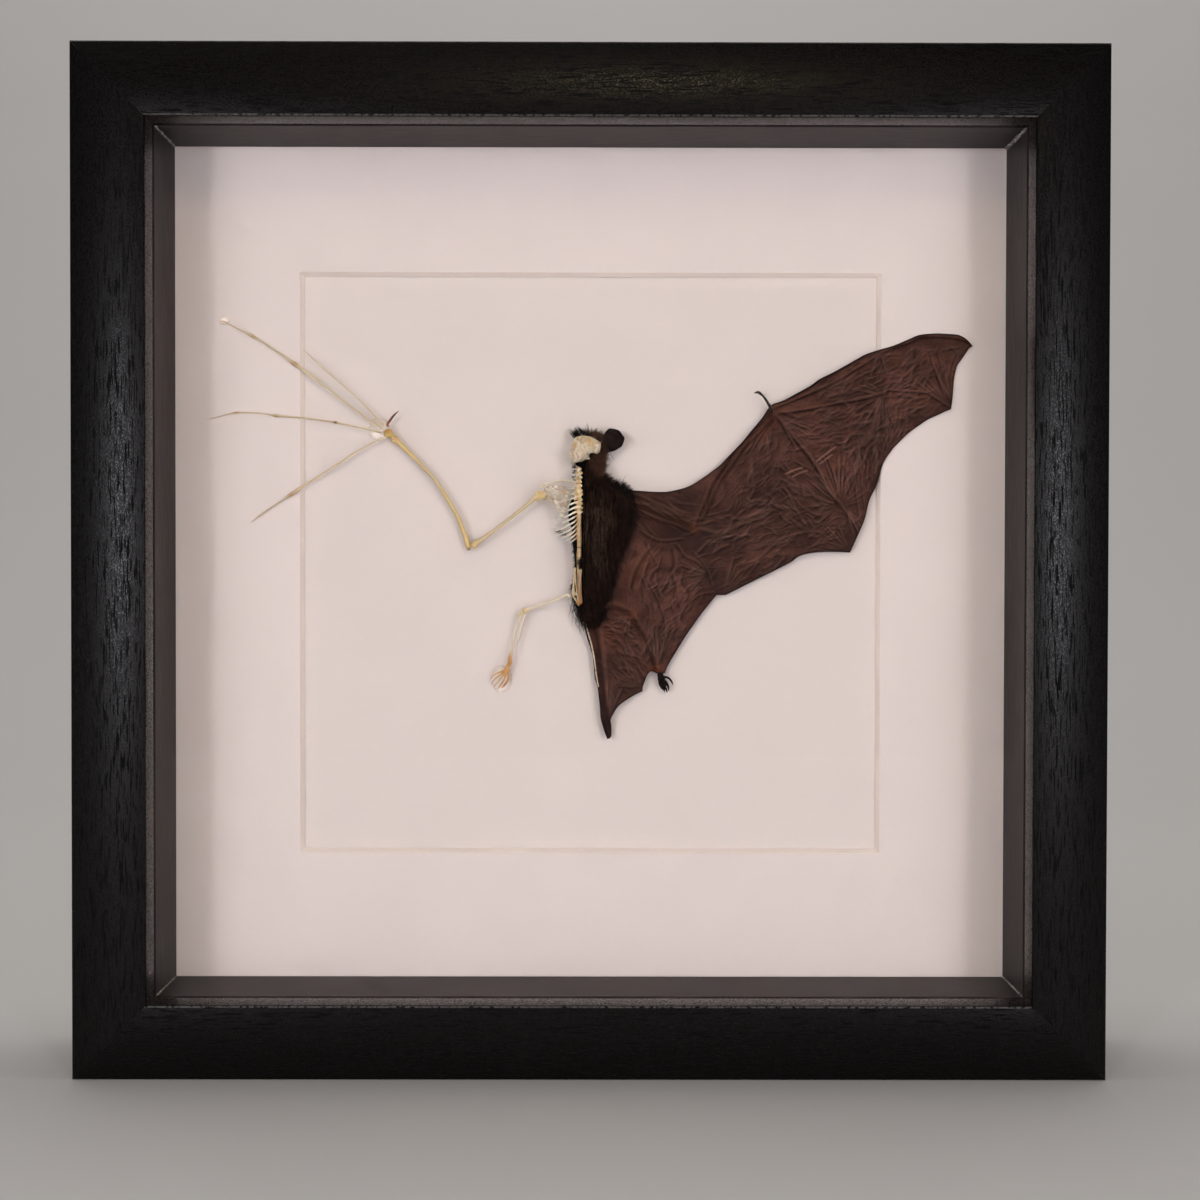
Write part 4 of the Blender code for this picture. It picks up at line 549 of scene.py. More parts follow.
WING_THUMB = [
    (46.9, 39.2, 1.1, 0.42), (46.2, 40.4, 1.4, 0.4), (45.5, 41.5, 1.7, 0.36), (44.9, 42.4, 1.9, 0.32),
    (44.2, 43.2, 2.1, 0.3), (43.3, 43.95, 2.1, 0.42), (42.7, 44.05, 2.0, 0.3), (41.9, 43.8, 1.8, 0.05),
]

# Colours as linear red, green and blue
HAIR_DARK = (0.0042, 0.0024, 0.0018)
HAIR_BROWN = (0.074, 0.036, 0.0205)
HAIR_TAN = (0.20, 0.11, 0.06)
# Paler strands over the coat, which carry painted highlights: their share, radius and colour.
STRAND_SHARE = 0.12
STRAND_RADIUS = (0.06, 0.10)
STRAND_TAN = (0.200, 0.118, 0.080)
DARK_BROWN = (HAIR_DARK, HAIR_BROWN)
WARM_BROWN = (HAIR_BROWN, tuple(2.2 * c for c in HAIR_BROWN))
CROWN_BROWN = (HAIR_DARK, (0.040, 0.019, 0.012))
BROW_TAN = (HAIR_BROWN, HAIR_TAN)
SKIN_BROWN = (HAIR_DARK, (0.050, 0.0225, 0.0140))

# Loose hair: name, path, how many, root's h, (inset), spread, angles and lengths from and to, colours, radius
FRINGES = [
    ("shoulder_hair", [(10.2, 17.6), (9.0, 19.2), (7.0, 20.1), (4.9, 21.3), (3.4, 22.8)],
     520, 2.2, (-0.5, -0.6), 0.40, (10, 85), (1.0, 2.8), DARK_BROWN, 0.085),
    ("neck_hair", [(2.6, 23.0), (2.9, 25.0), (3.2, 27.0), (3.2, 28.6)],
     460, 2.4, (-0.6, 0.0), 0.5, (-75, 35), (1.0, 2.6), WARM_BROWN, 0.085),
    ("nape_hair", [(1.6, 24.6), (1.4, 26.6), (2.4, 28.0), (3.0, 29.6)],
     620, 2.6, (-0.2, 0.0), 0.8, (-120, -20), (0.9, 2.2), WARM_BROWN, 0.085),
    ("crown_hair", [(-4.0, 33.0), (-2.6, 33.6), (-1.2, 33.6), (0.0, 33.2)],
     170, 3.2, (0.0, -0.6), 0.45, (85, 175), (1.1, 2.9), CROWN_BROWN, 0.085),
    ("brow_hair", [(0.0, 33.2), (1.2, 32.9), (2.6, 32.4)],
     220, 3.2, (0.0, -0.4), 0.45, (50, 150), (0.9, 2.2), BROW_TAN, 0.085),
    ("cheek_hair", [(2.8, 33.0), (3.0, 31.6), (3.1, 30.0), (3.0, 28.8)],
     260, 2.9, (-0.1, 0.0), 0.35, (-40, 60), (0.6, 1.3), WARM_BROWN, 0.045),
    ("wing_root_hair",
     [(1.8, -12.5), (2.9, -8.0), (4.5, -3.0), (6.4, 3.0), (8.4, 8.0), (9.6, 13.0), (9.9, 17.0)],
     1500, 1.75, (0.3, 0.0), 1.15, (-92, -28), (0.9, 3.0), SKIN_BROWN, 0.04),
    ("flank_hair",
     [(-4.6, 8.6), (-4.3, 5.0), (-4.0, 2.0), (-3.9, -1.0), (-4.2, -4.6), (-4.8, -6.2), (-4.1, -9.4)],
     420, 1.3, (0.2, 0.0), 0.25, (-170, -80), (0.6, 1.8), DARK_BROWN, 0.04),
    ("loin_hair", [(-1.9, 1.6), (-2.2, 0.4), (-2.0, -0.6)],
     170, 6.4, (0.2, 0.0), 0.30, (170, 265), (0.9, 2.2), DARK_BROWN, 0.045),
    ("rump_hair", [(-3.2, -10.0), (-2.6, -13.0), (-1.2, -14.8), (0.8, -14.8), (2.6, -13.2)],
     1100, 1.7, (0.2, 0.8), 0.95, (-125, -60), (1.2, 3.4), DARK_BROWN, 0.045),
    ("throat_hair", [(-4.2, 24.8), (-4.3, 23.0), (-4.2, 21.6)],
     110, 1.8, (0.3, 0.0), 0.25, (90, 200), (0.6, 1.4), DARK_BROWN, 0.05),
    ("rib_hair", [(-6.2, 7.4), (-7.4, 7.8), (-8.4, 8.2)],
     46, 1.2, (0.4, 0.3), 0.3, (175, 225), (1.0, 2.0), DARK_BROWN, 0.045),
    ("tail_hair", [(-1.4, -16.0), (-0.6, -19.0), (0.3, -22.0)],
     90, 1.3, (0.2, 0.0), 0.15, (-130, -80), (0.5, 1.2), DARK_BROWN, 0.04),
]
IVORY = (0.58, 0.47, 0.29)
JOINT_TAN = (0.42, 0.29, 0.14)
OCHRE = (0.50, 0.27, 0.09)
CHALK = (0.66, 0.58, 0.43)
PALE_YELLOW = (0.60, 0.45, 0.19)
GREY_IVORY = (0.56, 0.46, 0.27)
RED_BROWN = (0.12, 0.02, 0.012)
MARROW_ORANGE = (0.42, 0.17, 0.045)
JOINT_YELLOW = (0.62, 0.46, 0.22)
BLACK_BROWN = (0.05, 0.03, 0.02)
# The lip's faces at the opening: the level rails' lighter tones and the uprights' darker tones are painted
# light and shade.
LIT_LEVEL_LIP_TONES = ((0.014, 0.0102, 0.0098), (0.034, 0.0250, 0.0240))
SHADED_UPRIGHT_LIP_TONES = ((0.010, 0.0074, 0.0070), (0.022, 0.0160, 0.0152))


class Shader:
    """A material's node tree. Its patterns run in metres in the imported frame."""

    def __init__(self, name, roughness=0.5, specular=0.5, **inputs):
        self.material = bpy.data.materials.new(name)
        self.material.use_nodes = True
        self.tree = self.material.node_tree
        self.surface = self.tree.nodes["Principled BSDF"]
        self.surface.inputs["Roughness"].default_value = roughness
        self.surface.inputs["Specular IOR Level"].default_value = specular
        for socket, value in inputs.items():
            self.surface.inputs[socket.replace("_", " ")].default_value = value
        self.place = self.add("ShaderNodeTexCoord").outputs["Object"]

    def add(self, kind, inputs=None, **settings):
        """A new node. inputs gives each socket a value or another node's output."""
        node = self.tree.nodes.new(kind)
        for setting, value in settings.items():
            setattr(node, setting, value)
        for socket, value in (inputs or {}).items():
            self.give(node.inputs[socket], value)
        return node

    def give(self, socket, value):
        """Set a socket, or link it."""
        if isinstance(value, bpy.types.NodeSocket):
            self.tree.links.new(value, socket)
        else:
            socket.default_value = value

    def spread(self, stretch):
        """The place in cells. stretch is how many to a metre, along x, y and z or the same along all."""
        scale = stretch if isinstance(stretch, tuple) else (stretch,) * 3
        return self.add("ShaderNodeMapping", {"Vector": self.place, "Scale": scale}).outputs["Vector"]

    def noise(self, stretch, detail=3.0, distortion=0.0):
        """Noise with so many cells to a metre."""
        inputs = {"Vector": self.spread(stretch), "Scale": 1.0, "Detail": detail, "Distortion": distortion}
        return self.add("ShaderNodeTexNoise", inputs).outputs["Fac"]

    def cells(self, stretch):
        """Distance to the nearest of scattered points, so many to a metre."""
        inputs = {"Vector": self.spread(stretch), "Scale": 1.0}
        return self.add("ShaderNodeTexVoronoi", inputs).outputs["Distance"]

    def ramp(self, value, start, end, low=0.0, high=1.0):
        """A smooth step from low to high as value goes from start to end."""
        inputs = {"Value": value, "From Min": start, "From Max": end, "To Min": low, "To Max": high}
        return self.add("ShaderNodeMapRange", inputs, interpolation_type="SMOOTHSTEP").outputs["Result"]

    def sum(self, operation, a, b=0.0):
        """A Math node."""
        return self.add("ShaderNodeMath", {0: a, 1: b}, operation=operation).outputs[0]

    def blend(self, factor, a, b):
        """Colour a where factor is 0 and b where it is 1."""
        colours = [(*c, 1.0) if isinstance(c, tuple) else c for c in (a, b)]
        node = self.add("ShaderNodeMix", data_type="RGBA")
        self.give(node.inputs["Factor"], factor)
        for index, colour in zip((6, 7), colours):
            self.give(node.inputs[index], colour)
        return node.outputs[2]

    def over(self, tone, colour, value, *span):
        """A colour laid over a tone by a ramp of the value. span is the ramp's start, end, low and high."""
        return self.blend(self.ramp(value, *span), tone, colour)

    def mesh_tint(self):
        """The colour that the mesh carries at each point."""
        return self.add("ShaderNodeAttribute", attribute_name="tint").outputs["Color"]

    def channels(self, colour):
        """The red, green and blue parts of a colour."""
        return self.add("ShaderNodeSeparateColor", {"Color": colour}).outputs

    def position(self):
        """The x, y and z of each point."""
        return self.add("ShaderNodeSeparateXYZ", {"Vector": self.place}).outputs

    def bump(self, height, strength, depth, below=None):
        """A normal raised by height times depth in metres."""
        inputs = {"Height": height, "Strength": strength, "Distance": depth}
        if below is not None:
            inputs["Normal"] = below
        return self.add("ShaderNodeBump", inputs).outputs["Normal"]

    def finish(self, colour=None, roughness=None, normal=None):
        """Link what the surface is made of."""
        for socket, value in (("Base Color", colour), ("Roughness", roughness), ("Normal", normal)):
            if value is not None:
                self.give(self.surface.inputs[socket], value)
        return self.material

    def clear(self):
        """Let the lamps through, as thin clear glass does."""
        output = self.tree.nodes["Material Output"]
        shadow = self.add("ShaderNodeLightPath").outputs["Is Shadow Ray"]
        open_surface = self.add("ShaderNodeBsdfTransparent")
        inputs = {0: shadow, 1: self.surface.outputs[0], 2: open_surface.outputs[0]}
        mix = self.add("ShaderNodeMixShader", inputs)
        self.tree.links.new(mix.outputs[0], output.inputs["Surface"])


def square_distance(shader):
    """How far a point is from the frame's middle, counted square."""
    x, _, z = shader.position()[:3]
    across = shader.sum("ABSOLUTE", x)
    up = shader.sum("ABSOLUTE", shader.sum("SUBTRACT", z, MIDDLE_Z))
    return shader.sum("MAXIMUM", across, up)


def rail_cells(upright, across, along):
    """A stretch with so many cells to a metre across a strip and along it."""
    return (across, across, along) if upright else (along, across, across)


def foil_material(name, upright):
    """Black foil embossed with open pores along the rail, paler and streaky at the opening, lighter there on
    the level rails and darker on the uprights as painted light and shade, with a painted highlight along the
    level rails' inner front edge.
    """
    shader = Shader(name, specular=0.18)
    pores = shader.ramp(shader.noise(rail_cells(upright, 3400.0, 210.0), 2.0, 0.3), 0.55, 0.61)
    speckle = shader.ramp(shader.noise(rail_cells(upright, 4200.0, 2200.0), 2.0), 0.40, 0.64)
    figure = shader.noise(rail_cells(upright, 160.0, 14.0), 3.0)
    tone = shader.blend(figure, (0.0024, 0.0014, 0.0012), (0.0036, 0.0023, 0.0020))
    tone = shader.blend(pores, tone, (0.0013, 0.0009, 0.0008))
    depth = shader.sum("SUBTRACT", shader.position()["Y"], FRONT_Y)
    distance = square_distance(shader)
    at_opening = shader.ramp(distance, OPENING_HALF + 0.0004, OPENING_HALF + 0.0008, 1.0, 0.0)
    inside = shader.sum("MULTIPLY", shader.ramp(depth, 0.0008, 0.0012), at_opening)
    streaks = shader.noise(rail_cells(upright, 2600.0, 120.0), 3.0)
    # The lip is lighter on the level rails and darker on the uprights: painted light and shade.
    lip_tone = shader.over(*(SHADED_UPRIGHT_LIP_TONES if upright else LIT_LEVEL_LIP_TONES), streaks, 0.3, 0.7)
    tone = shader.blend(inside, tone, lip_tone)
    # A painted highlight along the level rails' inner front edge.
    if not upright:
        tone = shader.blend(painted_edge_highlight(shader, distance, depth), tone, (0.13, 0.12, 0.115))
    pits = shader.sum("MULTIPLY", pores, shader.ramp(inside, 0.0, 1.0, 1.0, 0.0))
    relief = shader.sum("SUBTRACT", shader.sum("MULTIPLY", speckle, 0.3), pits)
    pit_rough = shader.ramp(pits, 0.0, 1.0, 0.22, 0.7)
    rough = shader.sum("ADD", pit_rough, shader.ramp(speckle, 0.0, 1.0, 0.12, 0.0))
    return shader.finish(tone, rough, shader.bump(relief, 0.4, 0.00005))


def painted_edge_highlight(shader, distance, depth):
    """A painted highlight along the inner front edge, broken up by noise."""
    from_edge = shader.sum("ABSOLUTE", shader.sum("SUBTRACT", distance, OPENING_HALF + 0.0003))
    along_edge = shader.ramp(from_edge, 0.0001, 0.0003, 1.0, 0.0)
    front = shader.ramp(depth, 0.0001, 0.0005, 1.0, 0.0)
    highlight_breaks = shader.ramp(shader.noise(900.0, 4.0), 0.36, 0.56)
    return shader.sum("MULTIPLY", shader.sum("MULTIPLY", along_edge, front), highlight_breaks)


def liner_material(name, upright):
    """Brownish grey foil with fine grain along the strip, its streaks lighter on the level strips and darker on
    the uprights: painted light and shade.
    """
    shader = Shader(name, specular=0.2)
    streaks = shader.noise(rail_cells(upright, 2600.0, 120.0), 3.0)
    # The streaks are lighter on the level strips and darker on the uprights: painted light and shade.
    light = (0.026, 0.0178, 0.0168) if upright else (0.038, 0.027, 0.0262)
    tone = shader.over((0.010, 0.0068, 0.0064), light, streaks, 0.3, 0.7)
    rough = shader.ramp(streaks, 0.3, 0.7, 0.45, 0.6)
    return shader.finish(tone, rough, shader.bump(streaks, 0.35, 0.00003))


def glass_material():
    """Thin picture glass."""
    shader = Shader("picture_glass", roughness=0.0, IOR=1.45, Transmission_Weight=1.0)
    shader.surface.inputs["Specular Tint"].default_value = (0.12, 0.12, 0.12, 1.0)
    shader.clear()
    return shader.finish((1.0, 1.0, 1.0, 1.0))


def board_material(name, colour, core=None):
    """Matt board with a fine fibre surface. core is the colour of its bevelled cut."""
    shader = Shader(name, roughness=0.9, specular=0.15)
    fibre = shader.noise(5200.0, 3.0)
    darker = tuple(c * 0.985 for c in colour)
    tone = shader.over(darker, colour, shader.noise(60.0, 5.0), 0.3, 0.7)
    tone = shader.over(tone, (0.5, 0.43, 0.38), fibre, 0.35, 0.65, 0.0, 0.05)
    if core is not None:
        cut = shader.sum("COMPARE", square_distance(shader), MAT_WINDOW_HALF - 0.0005)
        cut.node.inputs[2].default_value = 0.00055
        tone = shader.blend(cut, tone, core)
    return shader.finish(tone, None, shader.bump(fibre, 0.25, 0.00002))


def hardboard_material():
    """Brown pressed board: a smooth face flecked with fibres."""
    shader = Shader("pressed_hardboard", specular=0.3)
    fleck = shader.noise(900.0, 6.0, 1.5)
    tone = shader.over((0.145, 0.082, 0.046), (0.27, 0.165, 0.096), fleck, 0.35, 0.7)
    tone = shader.over(tone, (0.12, 0.068, 0.040), shader.noise(35.0, 4.0), 0.3, 0.75, 0.0, 0.4)
    rough = shader.ramp(fleck, 0.3, 0.7, 0.55, 0.75)
    return shader.finish(tone, rough, shader.bump(fleck, 0.3, 0.00005))


def steel_material():
    """Zinc-plated strip with fine rolling marks."""
    shader = Shader("zinc_plated_steel", Metallic=1.0)
    marks = shader.noise((3500.0, 300.0, 300.0), 3.0)
    tone = shader.over((0.50, 0.51, 0.50), (0.66, 0.66, 0.64), shader.noise(500.0, 4.0), 0.3, 0.7)
    rough = shader.ramp(marks, 0.25, 0.75, 0.25, 0.45)
    return shader.finish(tone, rough, shader.bump(marks, 0.25, 0.00001))


def skin_material():
    """Thin dried wing skin: satin, darker along limbs, warmer where it is thin over the arm, with painted shade
    in its folds and painted highlights and sheens beside them.
    """
    shader = Shader("dried_wing_skin", specular=0.05)
    grain = shader.noise(2400.0, 4.0, 0.8)
    creases = shader.noise((900.0, 900.0, 1500.0), 4.0, 2.2)
    swell = shader.noise((75.0, 75.0, 120.0), 3.0, 1.4)
    cloud = shader.noise(230.0, 5.0, 0.6)
    tone = shader.over((0.040, 0.0140, 0.0085), (0.084, 0.0335, 0.0220), cloud, 0.3, 0.7)
    # Painted shade and sheen of the broad folds: the swell noise darkens some stretches and lightens others.
    tone = shader.over(tone, (0.021, 0.0085, 0.0065), swell, 0.36, 0.54, 0.55, 0.0)
    tone = shader.over(tone, (0.140, 0.061, 0.042), swell, 0.54, 0.70, 0.0, 0.45)
    tone = shader.over(tone, (0.030, 0.0110, 0.0075), grain, 0.35, 0.7, 0.0, 0.45)
    tone = shader.over(tone, (0.140, 0.066, 0.046), creases, 0.54, 0.68, 0.0, 0.22)
    # dark carries the limbs' own colour and painted shade in the folds, next to the torso and along the rim,
    # lowered in painted sheens; pale carries painted highlights.
    dark, warm, pale = shader.channels(shader.mesh_tint())[:3]
    tone = shader.blend(shader.sum("MULTIPLY", warm, 0.85), tone, (0.120, 0.034, 0.012))
    tone = shader.blend(shader.sum("MULTIPLY", dark, 0.95), tone, (0.0080, 0.0042, 0.0040))
    tone = shader.blend(shader.sum("MULTIPLY", pale, 0.85), tone, (0.27, 0.140, 0.100))
    rough = shader.ramp(grain, 0.3, 0.75, 0.34, 0.52)
    small = shader.bump(grain, 0.35, 0.00006)
    return shader.finish(tone, rough, shader.bump(creases, 0.5, 0.00018, small))


def hair_material():
    """Hair whose colour the mesh carries from root to tip."""
    shader = Shader("bat_hair", roughness=0.6, specular=0.05)
    streak = shader.noise(1200.0, 3.0)
    return shader.finish(shader.over(shader.mesh_tint(), HAIR_DARK, streak, 0.3, 0.7, 0.0, 0.45))


def under_fur_material():
    """The dark felted coat under the long hairs."""
    shader = Shader("under_fur", roughness=0.9, specular=0.02)
    strand = shader.noise((1900.0, 1900.0, 420.0), 5.0, 1.2)
    tone = shader.over((0.0025, 0.0017, 0.0014), shader.mesh_tint(), strand, 0.35, 0.7)
    return shader.finish(tone, None, shader.bump(strand, 0.9, 0.0003))


def hide_material(name, dark, light, roughness):
    """Blackish dried skin of the ear and the foot, finely speckled."""
    shader = Shader(name, specular=0.05)
    speckle = shader.noise(2600.0, 5.0, 0.5)
    tone = shader.over(dark, light, speckle, 0.4, 0.72)
    tone = shader.blend(shader.channels(shader.mesh_tint())[0], tone, dark)
    rough = shader.ramp(speckle, 0.3, 0.7, roughness - 0.08, roughness + 0.08)
    return shader.finish(tone, rough, shader.bump(speckle, 0.5, 0.00008))


def bone_material():
    """Dry cleaned bone: the mesh carries its ivory, ochre and chalk, and pits and stains lie over them."""
    shader = Shader("dry_bone", specular=0.45, Subsurface_Weight=0.2, Subsurface_Scale=0.0006)
    stain = shader.noise(420.0, 5.0, 0.8)
    pits = shader.ramp(shader.cells(3200.0), 0.05, 0.3)
    tone = shader.over(shader.mesh_tint(), (0.40, 0.235, 0.095), stain, 0.5, 0.78, 0.0, 0.4)
    tone = shader.over(tone, (0.20, 0.12, 0.06), pits, 0.0, 1.0, 0.10, 0.0)
    rough = shader.ramp(stain, 0.3, 0.7, 0.34, 0.52)
    return shader.finish(tone, rough, shader.bump(pits, 0.2, 0.00003))


def horn_material():
    """Dark red-brown horn of the claws, darker to the tip."""
    shader = Shader("claw_horn", specular=0.3)
    streak = shader.noise((2200.0, 2200.0, 500.0), 4.0)
    tone = shader.over(shader.mesh_tint(), (0.018, 0.008, 0.006), streak, 0.3, 0.7, 0.0, 0.4)
    rough = shader.ramp(streak, 0.3, 0.7, 0.22, 0.38)
    return shader.finish(tone, rough, shader.bump(streak, 0.2, 0.00003))


def cartilage_material():
    """The thin see-through plate of the shoulder blade."""
    shader = Shader("shoulder_plate", roughness=0.2, specular=0.5, IOR=1.3)
    cloud = shader.noise(900.0, 5.0, 1.0)
    tone = shader.over(shader.mesh_tint(), (0.92, 0.88, 0.80), cloud, 0.5, 0.75)
    shader.give(shader.surface.inputs["Transmission Weight"], shader.ramp(cloud, 0.46, 0.66, 0.92, 0.5))
    return shader.finish(tone, None, shader.bump(cloud, 0.45, 0.0002))


def glue_material():
    """Clear dried glue with a few waves and bubbles."""
    shader = Shader("clear_glue", roughness=0.06, specular=0.5, IOR=1.42, Transmission_Weight=1.0)
    waves = shader.noise(520.0, 3.0, 0.8)
    bubbles = shader.ramp(shader.cells(1500.0), 0.10, 0.22)
    tone = shader.over(shader.mesh_tint(), (0.93, 0.89, 0.80), waves, 0.3, 0.8, 0.0, 0.3)
    shader.clear()
    lens = shader.bump(waves, 0.8, 0.0006)
    return shader.finish(tone, None, shader.bump(bubbles, 0.5, 0.00010, lens))


def scuff_material():
    """Pale dried glue squeezed out of the mitres."""
    shader = Shader("mitre_glue", specular=0.3)
    crumbs = shader.noise(2600.0, 4.0)
    tone = shader.over((0.06, 0.052, 0.048), (0.42, 0.385, 0.35), crumbs, 0.35, 0.65)
    rough = shader.ramp(crumbs, 0.3, 0.7, 0.5, 0.8)
    return shader.finish(tone, rough, shader.bump(crumbs, 0.6, 0.0001))


def floor_material():
    """Plain pale studio floor."""
    shader = Shader("studio_floor", roughness=0.8, specular=0.1)
    return shader.finish(shader.blend(shader.noise(3.0, 3.0), (0.78, 0.765, 0.75), (0.82, 0.805, 0.79)))


def place(points):
    """Rows of (u, v, h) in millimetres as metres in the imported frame."""
    points = np.asarray(points, dtype=float)
    return np.column_stack((
        points[:, 0] * MM,
        MAT_FACE_Y - points[:, 2] * MM,
        MIDDLE_Z + points[:, 1] * MM,
    ))


def make_piece(name, points, faces, material, slot, replaces=(), tint=None, smooth=True):
    """A mesh piece on the frame's body. tint is a colour for each point."""
    mesh = bpy.data.meshes.new(name)
    mesh.from_pydata(np.asarray(points).tolist(), [], [tuple(face) for face in faces])
    mesh.update()
    if smooth:
        mesh.shade_smooth()
    if tint is not None:
        paint(mesh, tint)
    return finish_piece(name, mesh, material, replaces)


def paint(mesh, tint):
    """Give each point of the mesh its colour."""
    layer = mesh.color_attributes.new("tint", "FLOAT_COLOR", "POINT")
    rows = np.column_stack((np.asarray(tint, dtype=float), np.ones(len(mesh.vertices))))
    layer.data.foreach_set("color", rows.ravel())


def finish_piece(name, mesh, material, replaces):
    """Put the mesh in the scene, on its body, with its finish."""
    mesh.materials.append(material)
    piece = bpy.data.objects.new(name, mesh)
    bpy.context.scene.collection.objects.link(piece)
    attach(piece, "root")
    if replaces:
        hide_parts(*replaces)
    return piece


def flowing(stations, step):
    """Points about step apart on a smooth curve through the stations, with all their numbers blended."""
    ends = [stations[0], *stations, stations[-1]]
    points = []
    for before, start, end, after in zip(ends, ends[1:], ends[2:], ends[3:]):
        pieces = max(1, round(math.dist(start[:2], end[:2]) / step))
        for i in range(pieces):
            t = i / pieces
            point = []
            for a, b, c, d in zip(before, start, end, after):
                square, cube = 2 * a - 5 * b + 4 * c - d, 3 * b - a - 3 * c + d
                point.append(0.5 * (2 * b + (c - a) * t + square * t * t + cube * t ** 3))
            points.append(tuple(point))
    points.append(tuple(stations[-1]))
    return points


def curve(stations, step):
    """The (u, v) points of a smooth curve."""
    return np.array([point[:2] for point in flowing(stations, step)])


def closed_curve(stations, step):
    """The points of a smooth outline that comes back to its first station."""
    return curve(stations + stations[:1], step)[:-1]


def bell(distance, width=1.0):
    """1 at no distance, falling away smoothly over the width."""
    return np.exp(-((distance / width) ** 2))


def rounded(share):
    """A quarter circle's height: 0 at share 0 and 1 from share 1 on."""
    return np.sqrt(np.clip(1 - (1 - np.clip(share, 0, 1)) ** 2, 0, 1))


def near_spot(points, u, v, reach):
    """1 at (u, v), falling away smoothly over the reach."""
    return np.exp(-(((points[:, 0] - u) ** 2 + (points[:, 1] - v) ** 2) / reach ** 2))


def over(tone, share, colour):
    """A colour laid over a tone, by a share for each point."""
    share = np.reshape(share, (-1, 1))
    return np.asarray(tone) * (1 - share) + share * np.array(colour)


def outline_array(*edges, step=0.3):
    """One closed outline from edges that meet at corners."""
    points = np.vstack([curve(edge, step) for edge in edges])
    kept = [points[0]]
    for point in points[1:]:
        if math.dist(point, kept[-1]) > step * 0.4:
            kept.append(point)
    return np.array(kept)


def within(points, outline):
    """True for each point inside a closed outline."""
    inside = np.zeros(len(points), dtype=bool)
    u, v = points[:, 0], points[:, 1]
    for (au, av), (bu, bv) in zip(outline, np.roll(outline, -1, axis=0)):
        if av == bv:
            continue
        crosses = (av > v) != (bv > v)
        inside ^= crosses & (u < au + (v - av) * (bu - au) / (bv - av))
    return inside


def rim_distance(points, rim, closed=True):
    """Millimetres from each point to the nearest spot of a rim."""
    ends = np.roll(rim, -1, axis=0) if closed else rim[1:]
    dense = []
    for start, end in zip(rim, ends):
        count = max(1, int(math.dist(start, end) / 0.1))
        dense += [start + (end - start) * i / count for i in range(count)]
    tree = KDTree(len(dense))
    for i, spot in enumerate(dense):
        tree.insert((spot[0], spot[1], 0.0), i)
    tree.balance()
    return np.array([tree.find((u, v, 0.0))[2] for u, v in points])


def hex_grid(outline, spacing):
    """Staggered points inside an outline, clear of its edge."""
    left, low = outline.min(axis=0)
    right, high = outline.max(axis=0)
    rows = []
    for i, v in enumerate(np.arange(low + spacing / 2, high, spacing * 0.866)):
        u = np.arange(left + spacing * (0.25 + 0.5 * (i % 2)), right, spacing)
        rows.append(np.column_stack((u, np.full_like(u, v))))
    grid = np.vstack(rows)
    grid = grid[within(grid, outline)]
    return grid[rim_distance(grid, outline) > spacing * 0.55]


def sheet(outline, spacing):
    """Points and triangles that fill an outline."""
    grid = hex_grid(outline, spacing)
    flat = [Vector(point) for point in np.vstack((outline, grid))]
    corners, _, triangles, *_ = delaunay_2d_cdt(flat, [], [list(range(len(outline)))], 1, 1e-5)
    points = np.array([tuple(corner) for corner in corners])
    triangles = np.array(triangles)
    a, b, c = (points[triangles[:, i]] for i in range(3))
    area = (b[:, 0] - a[:, 0]) * (c[:, 1] - a[:, 1]) - (b[:, 1] - a[:, 1]) * (c[:, 0] - a[:, 0])
    triangles[area < 0] = triangles[area < 0][:, ::-1]
    return points, triangles


def closed_sheet(points, triangles, front, back):
    """A closed body between two heights over the same triangles."""
    count = len(points)
    edges = np.vstack((triangles[:, [0, 1]], triangles[:, [1, 2]], triangles[:, [2, 0]]))
    key = np.sort(edges, axis=1)
    _, first, times = np.unique(key, axis=0, return_index=True, return_counts=True)
    rim = edges[first[times == 1]]
    solid = np.vstack((np.column_stack((points, front)), np.column_stack((points, back))))
    walls = np.column_stack((rim[:, 1], rim[:, 0], rim[:, 0] + count, rim[:, 1] + count))
    faces = [*map(tuple, triangles), *map(tuple, triangles[:, ::-1] + count), *map(tuple, walls)]
    return place(solid), faces


def plate_piece(name, outline_sheet, front, back, tint, material, slot, node):
    """A plate closed between two heights, with the same colours on both faces."""
    solid, faces = closed_sheet(*outline_sheet, front, back)
    make_piece(name, solid, faces, material, slot, (node,), np.vstack((tint, tint)))


def backed_sheet(outline, front_sheet, front, back_sheet, back):
    """A closed body with a fine front and a coarse back that share their rim, the first points of both."""
    points, triangles = front_sheet
    back_points, back_triangles = back_sheet
    count = len(points)
    rim = np.arange(len(outline))
    after = np.roll(rim, -1)
    x, y = outline.T
    turn = np.sum(x * np.roll(y, -1) - y * np.roll(x, -1))
    here, there = (rim, after) if turn > 0 else (after, rim)
    walls = np.column_stack((there, here, here + count, there + count))
    solid = np.vstack((np.column_stack((points, front)), np.column_stack((back_points, back))))
    faces = [*map(tuple, triangles), *map(tuple, back_triangles[:, ::-1] + count), *map(tuple, walls)]
    return place(solid), faces


